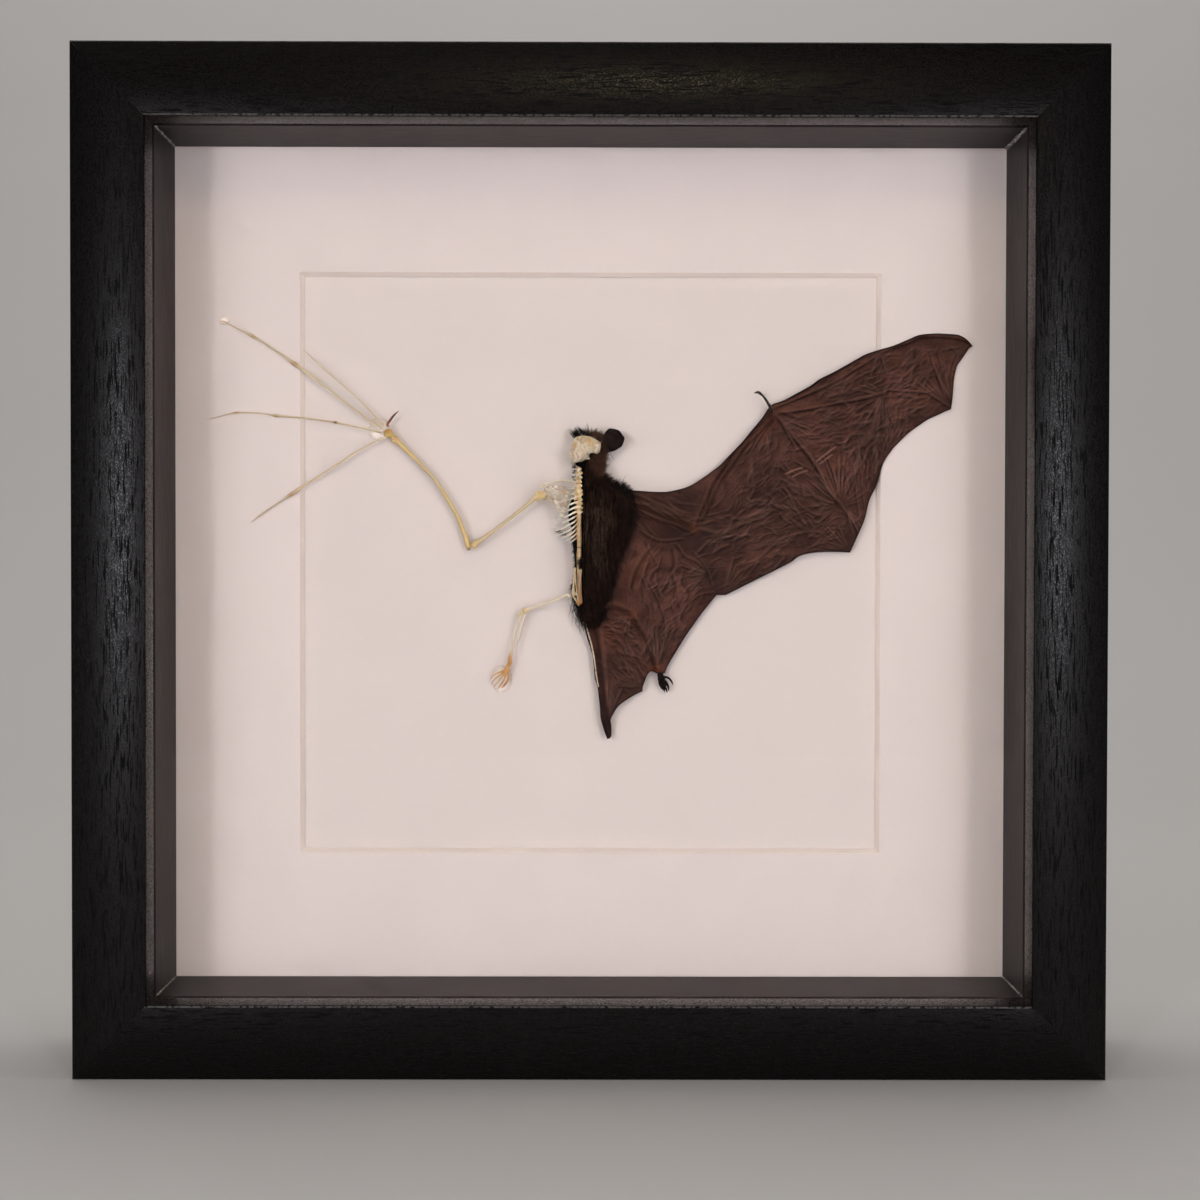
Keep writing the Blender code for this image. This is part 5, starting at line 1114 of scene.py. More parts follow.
def line_parts(points, path, reach):
    """For the points near a path: which they are, their signed distance, and how far along it they lie."""
    path = np.array(path)
    near = np.all((points > path.min(axis=0) - reach) & (points < path.max(axis=0) + reach), axis=1)
    index = np.nonzero(near)[0]
    spots = points[index]
    best = np.full(len(index), 1e9)
    side = np.zeros(len(index))
    share = np.zeros(len(index))
    lengths = np.linalg.norm(np.diff(path, axis=0), axis=1)
    run = np.concatenate(([0.0], np.cumsum(lengths))) / lengths.sum()
    for i, (start, step) in enumerate(zip(path, np.diff(path, axis=0))):
        offset = spots - start
        t = np.clip(offset @ step / (step @ step), 0.0, 1.0)
        distance = np.linalg.norm(offset - t[:, None] * step, axis=1)
        closer = distance < best
        best[closer] = distance[closer]
        side[closer] = np.sign(step[0] * offset[closer, 1] - step[1] * offset[closer, 0])
        share[closer] = (run[i] + t * (run[i + 1] - run[i]))[closer]
    return index, best * side, share


def fan_folds(rng):
    """The lines of the fans, each a little bent."""
    lines = []
    for (u, v), first, last, count, near, far, height in SKIN_FANS:
        for angle in np.linspace(first, last, count) + rng.uniform(-2.0, 2.0, count):
            bend = rng.uniform(-5.0, 5.0)
            start = near * rng.uniform(0.5, 1.4)
            end = far * rng.uniform(0.55, 1.05)
            path = []
            for share in np.linspace(0.0, 1.0, 6):
                reach = start + (end - start) * share
                turn = math.radians(angle + bend * share)
                path.append((u + reach * math.cos(turn), v + reach * math.sin(turn)))
            fold = (height * rng.uniform(0.6, 1.15), rng.uniform(0.17, 0.28), rng.uniform(0.4, 0.95))
            lines.append((*fold, path, True))
    return lines


def wrinkle_folds(rng):
    """The small wrinkles, scattered about their middles."""
    lines = []
    for (u, v), reach, direction, count, length, height in SKIN_WRINKLES:
        for _ in range(count):
            middle = np.array((u, v)) + rng.normal(0.0, reach * 0.55, 2)
            angle = math.radians(direction + rng.normal(0.0, 16.0))
            bend = rng.uniform(-0.35, 0.35)
            half = length * rng.uniform(0.3, 0.75)
            path = []
            for share in (-1.0, -0.5, 0.0, 0.5, 1.0):
                turn = angle + bend * share
                path.append(tuple(middle + half * share * np.array((math.cos(turn), math.sin(turn)))))
            fold = (height * rng.uniform(0.4, 1.2), rng.uniform(0.14, 0.40), rng.uniform(0.10, 0.70))
            lines.append((*fold, path, True))
    return lines


def skin_folds(rng):
    """All lines in the skin as height, width, darkness, path, and whether it fades at both ends."""
    named = [(*line[:3], curve(line[3], 1.0), False) for line in SKIN_LINES]
    return named + fan_folds(rng) + wrinkle_folds(rng)


def skin_base(u, v):
    """The lie of the wing skin: close over the mat far out, higher where it leaves the body."""
    near_body = np.exp(-(((u - 9.0) / 14.0) ** 2))
    return 0.5 + 0.6 * near_body + 0.12 * np.sin(u * 0.21 + 0.6) * np.cos(v * 0.17)


def fold_relief(points, folds):
    """The folds' height, and how dark and how pale they make each point: painted shade in the troughs on the
    side away from the light, and a painted highlight on the side that faces up, where the light falls.
    """
    relief, dark, pale = np.zeros((3, len(points)))
    for height, width, darkness, path, fades in folds:
        index, distance, share = line_parts(points, path, FOLD_REACH * width)
        facing_up = 1.0 if path[-1][0] >= path[0][0] else -1.0
        across = facing_up * distance / width
        if fades:
            strength = np.sin(np.pi * share) ** 0.6
            # Painted shade in the trough on the side away from the light, and a painted highlight on the side
            # that faces up.
            trough = bell(across + 0.9) * strength
            relief[index] += height * (bell(across - 0.7) * strength - 0.6 * trough)
            dark[index] += (1 - dark[index]) * darkness * trough
            pale[index] += 0.26 * darkness * np.exp(-((across - 1.1) ** 2) * 1.5) * strength
            continue
        strength = np.clip(np.minimum(share, 1 - share) * 14 + 0.35, 0, 1)
        relief[index] = np.maximum(relief[index], height * bell(across) * strength)
        # Dark along the line is the limb's or vessel's own colour and painted shade along a fold; the pale band
        # beside it is a painted highlight.
        if darkness > 0:
            dark[index] = np.maximum(dark[index], darkness * bell(across, 0.7) * strength)
            pale[index] += 0.22 * darkness * np.exp(-((across - 1.5) ** 2) * 2.5) * strength
        else:
            # A pale ridge line, a painted highlight, with painted shade on its side away from the light.
            pale[index] = np.maximum(pale[index], -darkness * bell(across) * strength)
            dark[index] = np.maximum(dark[index], -0.7 * darkness * bell(across + 1.6) * strength)
    return relief, dark, pale


def skin_back(outline):
    """The coarse back of the skin: its sheet, and a height that keeps clear of the mat."""
    back_sheet = sheet(outline, SKIN_BACK_SPACING)
    points = back_sheet[0]
    edge = rim_distance(points, outline)
    thickness = SKIN_THICKNESS * np.clip(0.45 + edge, 0.45, 1.0)
    low = skin_base(points[:, 0], points[:, 1]) + SKIN_LIFT - thickness
    inner = np.minimum(low - 0.25 * np.clip(edge, 0, 1), SKIN_HIGHEST_BACK)
    return back_sheet, np.where(edge < 0.01, np.minimum(low, SKIN_RIM_BACK), inner)


def make_wing(materials):
    """The wing, leg and tail skin as one thin wrinkled sheet."""
    outline = outline_array(
        WING_LEADING, WING_HAND, WING_TIP_EDGE, WING_SCALLOP_4, WING_SCALLOP_5, WING_TO_ANKLE,
        CALCAR_GAP, TAIL_MEMBRANE_EDGE, TAIL_EDGE, UNDER_BODY,
    )
    front_sheet = sheet(outline, SKIN_SPACING)
    points = front_sheet[0]
    relief, dark, pale = fold_relief(points, skin_folds(np.random.default_rng(11)))
    warm = np.zeros(len(points))
    # A patch with a negative darkness lightens the skin: a painted sheen.
    for (u, v), reach, darker, warmer in SKIN_PATCHES:
        patch = near_spot(points, u, v, reach)
        dark += (1 - dark) * darker * patch
        warm += warmer * patch
    body_edge = rim_distance(points, curve(BODY_SIDE, 0.5), closed=False)
    dark += (1 - dark) * 0.90 * bell(body_edge, SKIN_BODY_SHADE)
    edge = rim_distance(points, outline)
    dark += 1.1 * bell(edge, SKIN_RIM_SHADE)
    pale *= np.clip(edge / 1.2, 0.0, 1.0)
    front = skin_base(points[:, 0], points[:, 1]) + SKIN_LIFT + relief * np.clip(edge / 0.8, 0.2, 1.0)
    back_sheet, back = skin_back(outline)
    solid, faces = backed_sheet(outline, front_sheet, np.maximum(front, SKIN_LOWEST_FRONT), back_sheet, back)
    tint = np.clip(np.column_stack((dark, warm, pale)), 0, 1)
    tint = np.vstack((tint, np.tile((0.2, 0.1, 0.0), (len(back_sheet[0]), 1))))
    make_piece("wing_skin", solid, faces, materials["skin"], "wing_skin", ("wing", "tail_membrane"), tint)


def crest_height(v):
    """The torso's height at its cut midline."""
    stations = np.array(BODY_CREST)
    return np.interp(v, stations[:, 0], stations[:, 1])


def body_height(points):
    """The torso's height: a quarter round from the cut to its right margin, and a low shelf left of it."""
    u, v = points[:, 0], points[:, 1]
    margin = curve([BODY_RUMP[-1]] + BODY_SIDE + BODY_NECK, 0.5)
    rise = np.clip(rim_distance(points, margin, closed=False) / BODY_ROUNDING, 0.0, 1.0)
    height = BODY_EDGE_HEIGHT + (crest_height(v) - BODY_EDGE_HEIGHT) * np.sin(rise * np.pi / 2)
    height = np.where(u < BODY_CUT - 0.05, BODY_SHELF_HEIGHT, height)
    return np.where(v > BODY_CREST[-2][0], BODY_CREST[-1][1], height)


def body_outline():
    """The margin of the furred skin, with the straight cut down the midline."""
    return outline_array(BODY_SIDE + BODY_NECK, BODY_HEAD, UNDER_SPINE, BODY_SHELF, BODY_RUMP, step=0.6)


def directed(angle, length=1.0):
    """Steps of a length in the directions of the angles."""
    return np.reshape(length, (-1, 1)) * np.column_stack((np.cos(angle), np.sin(angle)))


def hairs(name, roots, tips, bends, radius, colours, material):
    """Tapered three-sided hairs as one mesh. colours holds each hair's root and tip colour."""
    middle = (roots + tips) / 2 + bends
    along = tips - roots
    along /= np.linalg.norm(along, axis=1)[:, None] + 1e-9
    across = np.cross(along, (0.0, 0.0, 1.0))
    across /= np.linalg.norm(across, axis=1)[:, None] + 1e-9
    up = np.cross(across, along)
    rows = []
    tints = []
    for t, width in HAIR_RINGS:
        centre = (1 - t) ** 2 * roots + 2 * t * (1 - t) * middle + t * t * tips
        for turn in np.radians((90, 210, 330)):
            rows.append(centre + (radius * width)[:, None] * (math.cos(turn) * across + math.sin(turn) * up))
            tints.append(colours[0] * (1 - t) + colours[1] * t)
    points = np.stack((*rows, tips), axis=1).reshape(-1, 3)
    tint = np.stack((*tints, colours[1]), axis=1).reshape(-1, 3)
    corners = ((0, 1), (1, 2), (2, 0))
    sides = [(ring + i, ring + j, ring + 3 + j, ring + 3 + i) for ring in (0, 3) for i, j in corners]
    ends = [(6 + i, 6 + j, 9) for i, j in corners]
    first = 10 * np.arange(len(roots))[:, None, None]
    quads = (first + np.array(sides)).reshape(-1, 4)
    every = [*map(tuple, quads), *map(tuple, (first + np.array(ends)).reshape(-1, 3))]
    make_piece(name, place(points), every, material, "fur", (), tint)


def mix_colours(rng, count, dark, light, spread):
    """Root and tip colours between two colours, a little different on each hair."""
    share = rng.uniform(0.0, 1.0, count)[:, None] ** 3
    dark, light = np.array(dark), np.array(light)
    roots = dark * (1 + spread * rng.uniform(-0.4, 0.4, count)[:, None])
    return roots, dark * (1 - share) + light * share


def scatter_within(rng, outline, density):
    """Random points inside an outline, so many to a square millimetre."""
    low, high = outline.min(axis=0), outline.max(axis=0)
    count = int(np.prod(high - low) * density)
    points = rng.uniform(low, high, (count, 2))
    return points[within(points, outline)]


def clumped(rng, roots, tips, spacing, pull):
    """Draw the tips of neighbouring hairs together into locks. Gives the tips and each hair's lock."""
    cell = np.floor(roots[:, :2] / spacing + rng.uniform(-0.25, 0.25, (len(roots), 2))).astype(int)
    _, lock = np.unique(cell, axis=0, return_inverse=True)
    lock = lock.ravel()
    count = np.bincount(lock)
    for axis in range(3):
        centre = np.bincount(lock, weights=tips[:, axis]) / count
        tips[:, axis] += pull * (centre[lock] - tips[:, axis])
    return tips, lock


def make_coat(materials):
    """The torso under its fur, and the long hairs that flow from the neck to the rump."""
    rng = np.random.default_rng(5)
    side = curve(BODY_SIDE + BODY_NECK, 0.5)
    make_under_fur(side, materials)
    roots, tips = make_long_fur(rng, side, materials)
    make_highlight_strands(rng, roots, tips, materials)


def make_under_fur(side, materials):
    """The torso itself: warmer toward its right side, browner at the rump and on the head."""
    outline = body_outline()
    torso = sheet(outline, TORSO_SPACING)
    points = torso[0]
    u, v = points[:, 0], points[:, 1]
    edge = rim_distance(points, outline)
    front = body_height(points) - BODY_INSET - 0.7 * np.exp(-edge / 0.8)
    front += 0.16 * np.sin(u * 2.3 + 0.7 * np.sin(v * 0.9)) * np.clip(edge, 0, 1)
    back = np.full(len(points), CARD_H + 0.3)
    at_side = bell(rim_distance(points, side, closed=False), 2.6)
    at_rump = np.clip((-6.0 - v) / 5.0, 0.0, 1.0)
    on_head = np.clip((v - 21.0) / 3.0, 0.0, 1.0) * np.clip((u + 1.6) / 1.6, 0.12, 1.0)
    tint = over((0.009, 0.0052, 0.0040), at_side, (0.020, 0.0085, 0.0055))
    tint = over(tint, at_rump, (0.030, 0.0135, 0.0090))
    tint = over(tint, on_head, (0.024, 0.0130, 0.0085))
    plate_piece("torso_under_fur", torso, front, back, tint, materials["under_fur"], "fur", "furred_body")


def make_long_fur(rng, side, materials):
    """The long hairs, drawn into locks. Gives their roots and tips."""
    spots = scatter_within(rng, closed_curve(FUR_REGION, 0.6), FUR_DENSITY)
    count = len(spots)
    margin = np.exp(-rim_distance(spots, side, closed=False) / 2.2)
    wave = 9.0 * np.sin(spots[:, 0] * 0.9 + 1.3 * np.sin(spots[:, 1] * 0.35))
    angle = np.radians(-94.0 + 46.0 * margin + wave + rng.normal(0.0, 13.0, count))
    neck = spots[:, 1] > 19.5
    angle[neck] = np.radians(-60.0 + rng.normal(0.0, 38.0, neck.sum()))
    length = rng.uniform(*FUR_LENGTH, count) * (1 - 0.35 * neck)
    roots = np.column_stack((spots, body_height(spots) - BODY_INSET - 0.15))
    tip_spots = spots + directed(angle, length)
    tip_spots[:, 0] = np.maximum(tip_spots[:, 0], BODY_CUT - 0.25)
    lift = rng.uniform(0.15, 0.95, count) * (1 - 0.5 * margin)
    tips = np.column_stack((tip_spots, np.maximum(body_height(tip_spots) - 0.1, 1.3) + lift))
    tips, lock = clumped(rng, roots, tips, FUR_LOCK, FUR_PULL)
    bends = np.column_stack((rng.normal(0, 0.18, (count, 2)), rng.uniform(0.15, 0.5, count)))
    root_tone, tip_tone = mix_colours(rng, count, HAIR_DARK, HAIR_BROWN, 1.0)
    bright = (rng.uniform(0.0, 1.0, lock.max() + 1) ** 2.4)[lock] * rng.uniform(0.4, 1.0, (count, 1))[:, 0]
    tip_tone = over(tip_tone, 0.7 * bright, tuple(1.3 * c for c in HAIR_BROWN))
    for u, v, reach in TAN_SPOTS:
        near = near_spot(tips, u, v, reach) * rng.uniform(0.2, 1.0, (count, 1))[:, 0]
        tip_tone = over(tip_tone, 0.8 * near, HAIR_TAN)
    brown = 0.9 * margin * rng.uniform(0.3, 1.0, (count, 1))[:, 0]
    tip_tone = over(tip_tone, brown, (0.044, 0.019, 0.0125))
    root_tone = over(root_tone, brown, (0.024, 0.0105, 0.0075))
    radius = rng.uniform(*FUR_RADIUS, count)
    hairs("long_fur", roots, tips, bends, radius, (root_tone, tip_tone), materials["hair"])
    return roots, tips


def make_highlight_strands(rng, roots, tips, materials):
    """A few coarser strands over the coat, hair coloured paler to carry painted highlights on the fur."""
    likely = np.exp(-(((tips[:, 0] - 2.0) / 2.8) ** 2 + ((tips[:, 1] - 6.0) / 7.5) ** 2))
    chosen = np.nonzero(rng.uniform(0.0, 1.0, len(roots)) < STRAND_SHARE * likely)[0]
    count = len(chosen)
    reach = (tips[chosen] - roots[chosen]) * rng.uniform(0.9, 1.6, count)[:, None]
    start = roots[chosen] + (0.0, 0.0, 0.55)
    end = start + reach
    end[:, 0] = np.maximum(end[:, 0], BODY_CUT)
    end[:, 2] = body_height(end[:, :2]) + rng.uniform(0.5, 1.1, count)
    bends = np.column_stack((rng.normal(0, 0.45, (count, 2)), rng.uniform(0.3, 0.7, count)))
    tones = np.array(STRAND_TAN) * rng.uniform(0.3, 1.0, count)[:, None]
    radius = rng.uniform(*STRAND_RADIUS, count)
    hairs("highlight_strands", start, end, bends, radius, (0.4 * tones, tones), materials["hair"])


def fringe(rng, name, path, count, height, inset, spread, angles, lengths, colours, radius, materials):
    """Hairs along a path. height is their root's h, angles and lengths are ranges."""
    line = curve(path, 0.1)
    spots = line[rng.integers(0, len(line), count)] + rng.normal(0.0, spread, (count, 2)) + np.array(inset)
    share = rng.uniform(0.0, 1.0, count)
    angle = np.radians(angles[0] + (angles[1] - angles[0]) * share)
    length = rng.uniform(*lengths, count)
    roots = np.column_stack((spots, np.full(count, height) + rng.uniform(-0.3, 0.5, count)))
    tips = np.column_stack((spots + directed(angle, length), roots[:, 2] + rng.uniform(-0.2, 0.6, count)))
    tips, _ = clumped(rng, roots, tips, FRINGE_LOCK, FRINGE_PULL)
    bends = np.column_stack((rng.normal(0, 0.2, (count, 2)), rng.uniform(0.0, 0.3, count)))
    tones = mix_colours(rng, count, *colours, 1.0)
    hairs(name, roots, tips, bends, rng.uniform(0.6, 1.0, count) * radius, tones, materials["hair"])


def make_fringes(materials):
    """The loose hair at the margins: shoulder, neck, head, wing root, cut edge and rump."""
    rng = np.random.default_rng(23)
    for name, path, *rest in FRINGES:
        fringe(rng, name, path, *rest, materials)


def tube_faces(points, radii, sides, wobble=0.0, seed=0):
    """Rings along a line of (u, v, h) points, closed at both ends."""
    rng = np.random.default_rng(seed)
    line = np.array(points)
    along = np.gradient(line, axis=0)
    along /= np.linalg.norm(along, axis=1)[:, None]
    across = np.cross(along, (0.0, 0.0, 1.0))
    across /= np.linalg.norm(across, axis=1)[:, None]
    up = np.cross(across, along)
    turns = np.arange(sides) * 2 * math.pi / sides
    rings = []
    for here, side, rise, radius in zip(line, across, up, radii):
        size = radius * (1 + wobble * rng.uniform(-1, 1, sides))
        rings.append(here + size[:, None] * (np.cos(turns)[:, None] * side + np.sin(turns)[:, None] * rise))
    caps = (line[0] - along[0] * radii[0] * 0.6, line[-1] + along[-1] * radii[-1] * 0.6)
    verts = np.vstack((*rings, *[cap[None, :] for cap in caps]))
    faces = []
    for row in range(len(rings) - 1):
        for i in range(sides):
            j = (i + 1) % sides
            a = row * sides
            faces.append((a + i, a + j, a + sides + j, a + sides + i))
    last = (len(rings) - 1) * sides
    low, high = len(verts) - 2, len(verts) - 1
    for i in range(sides):
        j = (i + 1) % sides
        faces.append((j, i, low))
        faces.append((last + i, last + j, high))
    return verts, faces


def ball_faces(knob, segments=12, rings=8):
    """A small ball (u, v, h, radius)."""
    *centre, radius = knob
    shell = bmesh.new()
    bmesh.ops.create_uvsphere(shell, u_segments=segments, v_segments=rings, radius=radius)
    verts = np.array([tuple(vert.co) for vert in shell.verts]) + np.array(centre)
    faces = [tuple(vert.index for vert in face.verts) for face in shell.faces]
    shell.free()
    return verts, faces


def fused_piece(name, parts, voxel, material, replaces, tint):
    """Crossing parts grown into one smooth surface. tint colours an array of (u, v, h) points."""
    verts = []
    faces = []
    for part_verts, part_faces in parts:
        first = sum(len(v) for v in verts)
        verts.append(part_verts)
        faces += [tuple(first + i for i in face) for face in part_faces]
    rough_mesh = bpy.data.meshes.new(f"{name}_rough")
    rough_mesh.from_pydata((np.vstack(verts) * MM).tolist(), [], faces)
    shell = bmesh.new()
    shell.from_mesh(rough_mesh)
    bmesh.ops.recalc_face_normals(shell, faces=shell.faces)
    shell.to_mesh(rough_mesh)
    shell.free()
    rough = bpy.data.objects.new(f"{name}_rough", rough_mesh)
    bpy.context.scene.collection.objects.link(rough)
    remesh = rough.modifiers.new("fuse", "REMESH")
    remesh.mode = "VOXEL"
    remesh.voxel_size = voxel * MM
    smooth = rough.modifiers.new("soften", "SMOOTH")
    smooth.factor = 0.5
    smooth.iterations = 3
    bpy.context.view_layer.update()
    evaluated = rough.evaluated_get(bpy.context.evaluated_depsgraph_get())
    fused = bpy.data.meshes.new_from_object(evaluated)
    points = np.empty(3 * len(fused.vertices))
    fused.vertices.foreach_get("co", points)
    points = points.reshape(-1, 3) / MM
    bpy.data.objects.remove(rough, do_unlink=True)
    fused.vertices.foreach_set("co", place(points).ravel())
    fused.flip_normals()
    fused.shade_smooth()
    fused.update()
    paint(fused, tint(points))
    fused.name = name
    return finish_piece(name, fused, material, replaces)


def toned(base, patches=()):
    """A colour for each point: base, with (u, v, reach, colour) patches over it."""
    def tint(points):
        colours = np.tile(np.array(base), (len(points), 1))
        for u, v, reach, colour in patches:
            colours = over(colours, near_spot(points, u, v, reach), colour)
        return colours
    return tint


def tube(stations, step=0.5, sides=12, wobble=0.04, seed=1):
    """A bone's tube from its stations."""
    line = flowing(stations, step)
    return tube_faces([p[:3] for p in line], [p[3] for p in line], sides, wobble, seed)


def balls(knobs):
    """A ball for each knob."""
    return [ball_faces(knob) for knob in knobs]


def thread_piece(name, thread, tint, materials):
    """A fine thread of dried tissue as its own piece."""
    verts, faces = thread
    make_piece(name, place(verts), [face[::-1] for face in faces], materials["bone"], "bone", (), tint(verts))


def make_long_bones(materials):
    """Arm, leg and finger bones with their knobbed ends."""
    ends = [(-12.8, 17.4, 1.6, PALE_YELLOW), (-29.9, 4.8, 1.4, PALE_YELLOW)]
    upper_arm = [tube(HUMERUS)] + balls(HUMERUS_ENDS)
    forearm = [tube(FOREARM), tube(ULNA)] + balls(FOREARM_ENDS)
    elbow, wrist_end = (-31.0, 3.2, 0.75, RED_BROWN), (-50.3, 31.9, 1.3, (0.58, 0.38, 0.15))
    arm = [elbow, wrist_end, (-41, 22.5, 5.0, GREY_IVORY)]
    third = [(-76.2, 51.2, 1.1, JOINT_TAN), (-86.9, 58.2, 0.9, JOINT_TAN)]
    fourth = [(-81.0, 37.8, 0.8, JOINT_TAN), (-91.3, 38.7, 0.6, JOINT_TAN)]
    fourth.insert(0, (-65.7, 36.2, 0.5, (0.10, 0.05, 0.03)))
    fifth = [(-77.2, 17.5, 1.1, JOINT_TAN)]
    knee = [(-16.9, -12.2, 1.0, JOINT_YELLOW)]
    shin = [(-17.8, -13.1, 0.9, JOINT_YELLOW), (-20.7, -24.6, 1.6, OCHRE)]
    hip = [(-3.0, -10.6, 1.1, MARROW_ORANGE), (-3.8, -8.5, 0.4, (0.06, 0.04, 0.03))]
    wrist = [(-52.4, 34.4, 0.8, MARROW_ORANGE)]
    foot = [
        (-22.2, -31.2, 0.8, (0.34, 0.09, 0.01)), (-21.2, -29.6, 0.7, (0.46, 0.19, 0.04)),
        (-24.6, -30.4, 1.6, (0.52, 0.33, 0.18)), (-20.8, -25.6, 0.7, (0.46, 0.22, 0.06)),
    ]
    toes = [tube(toe, 0.4, 10) for toe in BARE_TOES]
    rows = [
        ("collar_bone", "clavicle", [tube(CLAVICLE)], 0.10, CHALK, []),
        ("upper_arm_bone", "humerus", upper_arm, 0.12, GREY_IVORY, ends),
        ("forearm_bone", "forearm", forearm, 0.12, PALE_YELLOW, arm),
        ("second_finger_bone", "finger_2", [tube(FINGER_2)], 0.09, IVORY, []),
        ("third_finger_bone", "finger_3", [tube(FINGER_3)], 0.10, IVORY, third),
        ("fourth_finger_bone", "finger_4", [tube(FINGER_4)], 0.09, IVORY, fourth),
        ("fifth_finger_bone", "finger_5", [tube(FINGER_5)], 0.10, IVORY, fifth),
        ("thigh_bone", "femur", [tube(FEMUR)] + balls(FEMUR_ENDS), 0.10, CHALK, knee),
        ("shin_bone", "tibia", [tube(TIBIA)] + balls(TIBIA_ENDS), 0.10, CHALK, shin),
        ("calf_bone", "fibula", [tube(FIBULA)], 0.08, CHALK, []),
        ("hip_bone", "pelvis", [tube(PELVIS), tube(HIP_BRIDGE), tube(HIP_ARCH)], 0.10, GREY_IVORY, hip),
        ("wrist_bone", "wrist_bones", balls(WRIST_KNOBS), 0.09, (0.54, 0.38, 0.13), wrist),
        ("bare_foot", "foot_bones", toes + balls(ANKLE_KNOBS), 0.09, (0.54, 0.29, 0.09), foot),
    ]
    for name, node, parts, voxel, base, patches in rows:
        fused_piece(name, parts, voxel, materials["bone"], (node,), toned(base, patches))
    thread_piece("stray_fibre", tube(FOOT_FIBRE, 0.4, 6, 0.0), toned(CHALK), materials)


def vertebra_knobs(rng, line):
    """The knobs of the chest vertebrae down to where the rod starts."""
    knobs = []
    for v in np.arange(VERTEBRA_TOP, ROD_TOP, -VERTEBRA_PITCH):
        u, _, h = min(line, key=lambda p: abs(p[1] - v))
        for side, low, size in VERTEBRA_KNOBS:
            jitter = rng.normal(0.0, 0.08, 3)
            radius = size * rng.uniform(0.8, 1.15)
            knobs.append((u + side + jitter[0], v - low + jitter[1], h + 0.15 + jitter[2], radius))
    return knobs


def rib_tube(rng, line, i):
    """One rib, which curves down and back from its vertebra."""
    root_v = RIB_TOP - RIB_PITCH * i
    root_u, _, root_h = min(line, key=lambda p: abs(p[1] - root_v))
    reach = RIB_REACH[i]
    fall = 0.14 + 0.065 * i
    spread = rng.uniform(-0.12, 0.12, 4)
    return tube([
        (root_u + 0.5 * (root_v > ROD_TOP), root_v, root_h + 0.35, RIB_RADIUS),
        (root_u - 0.20 * reach, root_v - 0.33 * fall * reach, root_h + 0.25, RIB_RADIUS),
        (root_u - 0.45 * reach, root_v - 0.58 * fall * reach + spread[0], root_h - 0.5, RIB_RADIUS),
        (root_u - 0.75 * reach, root_v - 0.78 * fall * reach + spread[1], root_h - 2.4, RIB_RADIUS * 0.85),
        (root_u - reach, root_v - 0.95 * fall * reach + spread[2], root_h - 4.4, RIB_RADIUS * 0.55),
    ], 0.5, 8, 0.08, i)


def spine_tint(points):
    """Ivory ribs, a blotched chest, a browner rod with two dark joints, and an orange base."""
    u, v = points[:, 0], points[:, 1]
    on_spine = np.clip((u + 4.4) / 0.6, 0.0, 1.0)
    blotch = np.clip(0.5 + 0.9 * np.sin(2.9 * v + 1.6 * u) * np.sin(1.7 * v - 2.3 * u + 1.0), 0.0, 1.0)
    loins = np.array((0.47, 0.315, 0.155)) * (1 - 0.2 * blotch[:, None])
    loins = over(loins, np.clip((-2.4 - v) / 1.2, 0.0, 1.0), (0.30, 0.195, 0.095))
    loins = over(loins, bell(v + 10.2), MARROW_ORANGE)
    chest = over((0.66, 0.55, 0.36), blotch, (0.50, 0.33, 0.13))
    column = over(chest, np.clip((ROD_TOP + 0.4 - v) / 0.8, 0.0, 1.0), loins)
    colour = over((0.80, 0.75, 0.63), on_spine, column)
    dark = np.maximum(bell(v - 4.0, 0.13), bell(v - 0.2, 0.9) * 0.85) * on_spine
    return over(colour, dark, (0.05, 0.028, 0.018))


def make_spine(materials):
    """The chest vertebrae with their ribs, and the rod of the loins."""
    rng = np.random.default_rng(17)
    line = flowing(SPINE, 0.3)
    rod = [p for p in line if p[1] < ROD_TOP]
    core = [p for p in line if p[1] > ROD_TOP - 0.5]
    parts = [
        tube_faces(rod, [ROD_RADIUS * (1 + 0.08 * math.sin(1.1 * p[1])) for p in rod], 12, 0.04, 3),
        tube_faces(core, [CORE_RADIUS] * len(core), 10, 0.04, 4),
        tube(SACRUM),
    ]
    parts += balls(vertebra_knobs(rng, line))
    parts += [rib_tube(rng, line, i) for i in range(RIB_COUNT)]
    parts += [tube(tip, 0.5, 6) for tip in RIB_TIPS]
    fused_piece("spine_and_ribs", parts, 0.1, materials["bone"], ("spine",), spine_tint)


def skull_lines():
    """The cracks and plates of the skull: depth, width, colour, path. Then small scratches at random."""
    lines = list(SKULL_LINES)
    rng = np.random.default_rng(4)
    for _ in range(SKULL_SCRATCHES):
        middle = np.array((rng.uniform(-5.0, 2.2), rng.uniform(26.0, 32.2)))
        angle = math.radians(rng.normal(70.0, 40.0))
        reach = rng.uniform(0.35, 1.0) * np.array((math.cos(angle), math.sin(angle)))
        shade = (0.76, 0.69, 0.55) if rng.random() < 0.5 else (0.36, 0.23, 0.10)
        depth = rng.choice((-0.28, 0.26))
        lines.append((depth, rng.uniform(0.14, 0.28), shade, [tuple(middle - reach), tuple(middle + reach)]))
    return lines


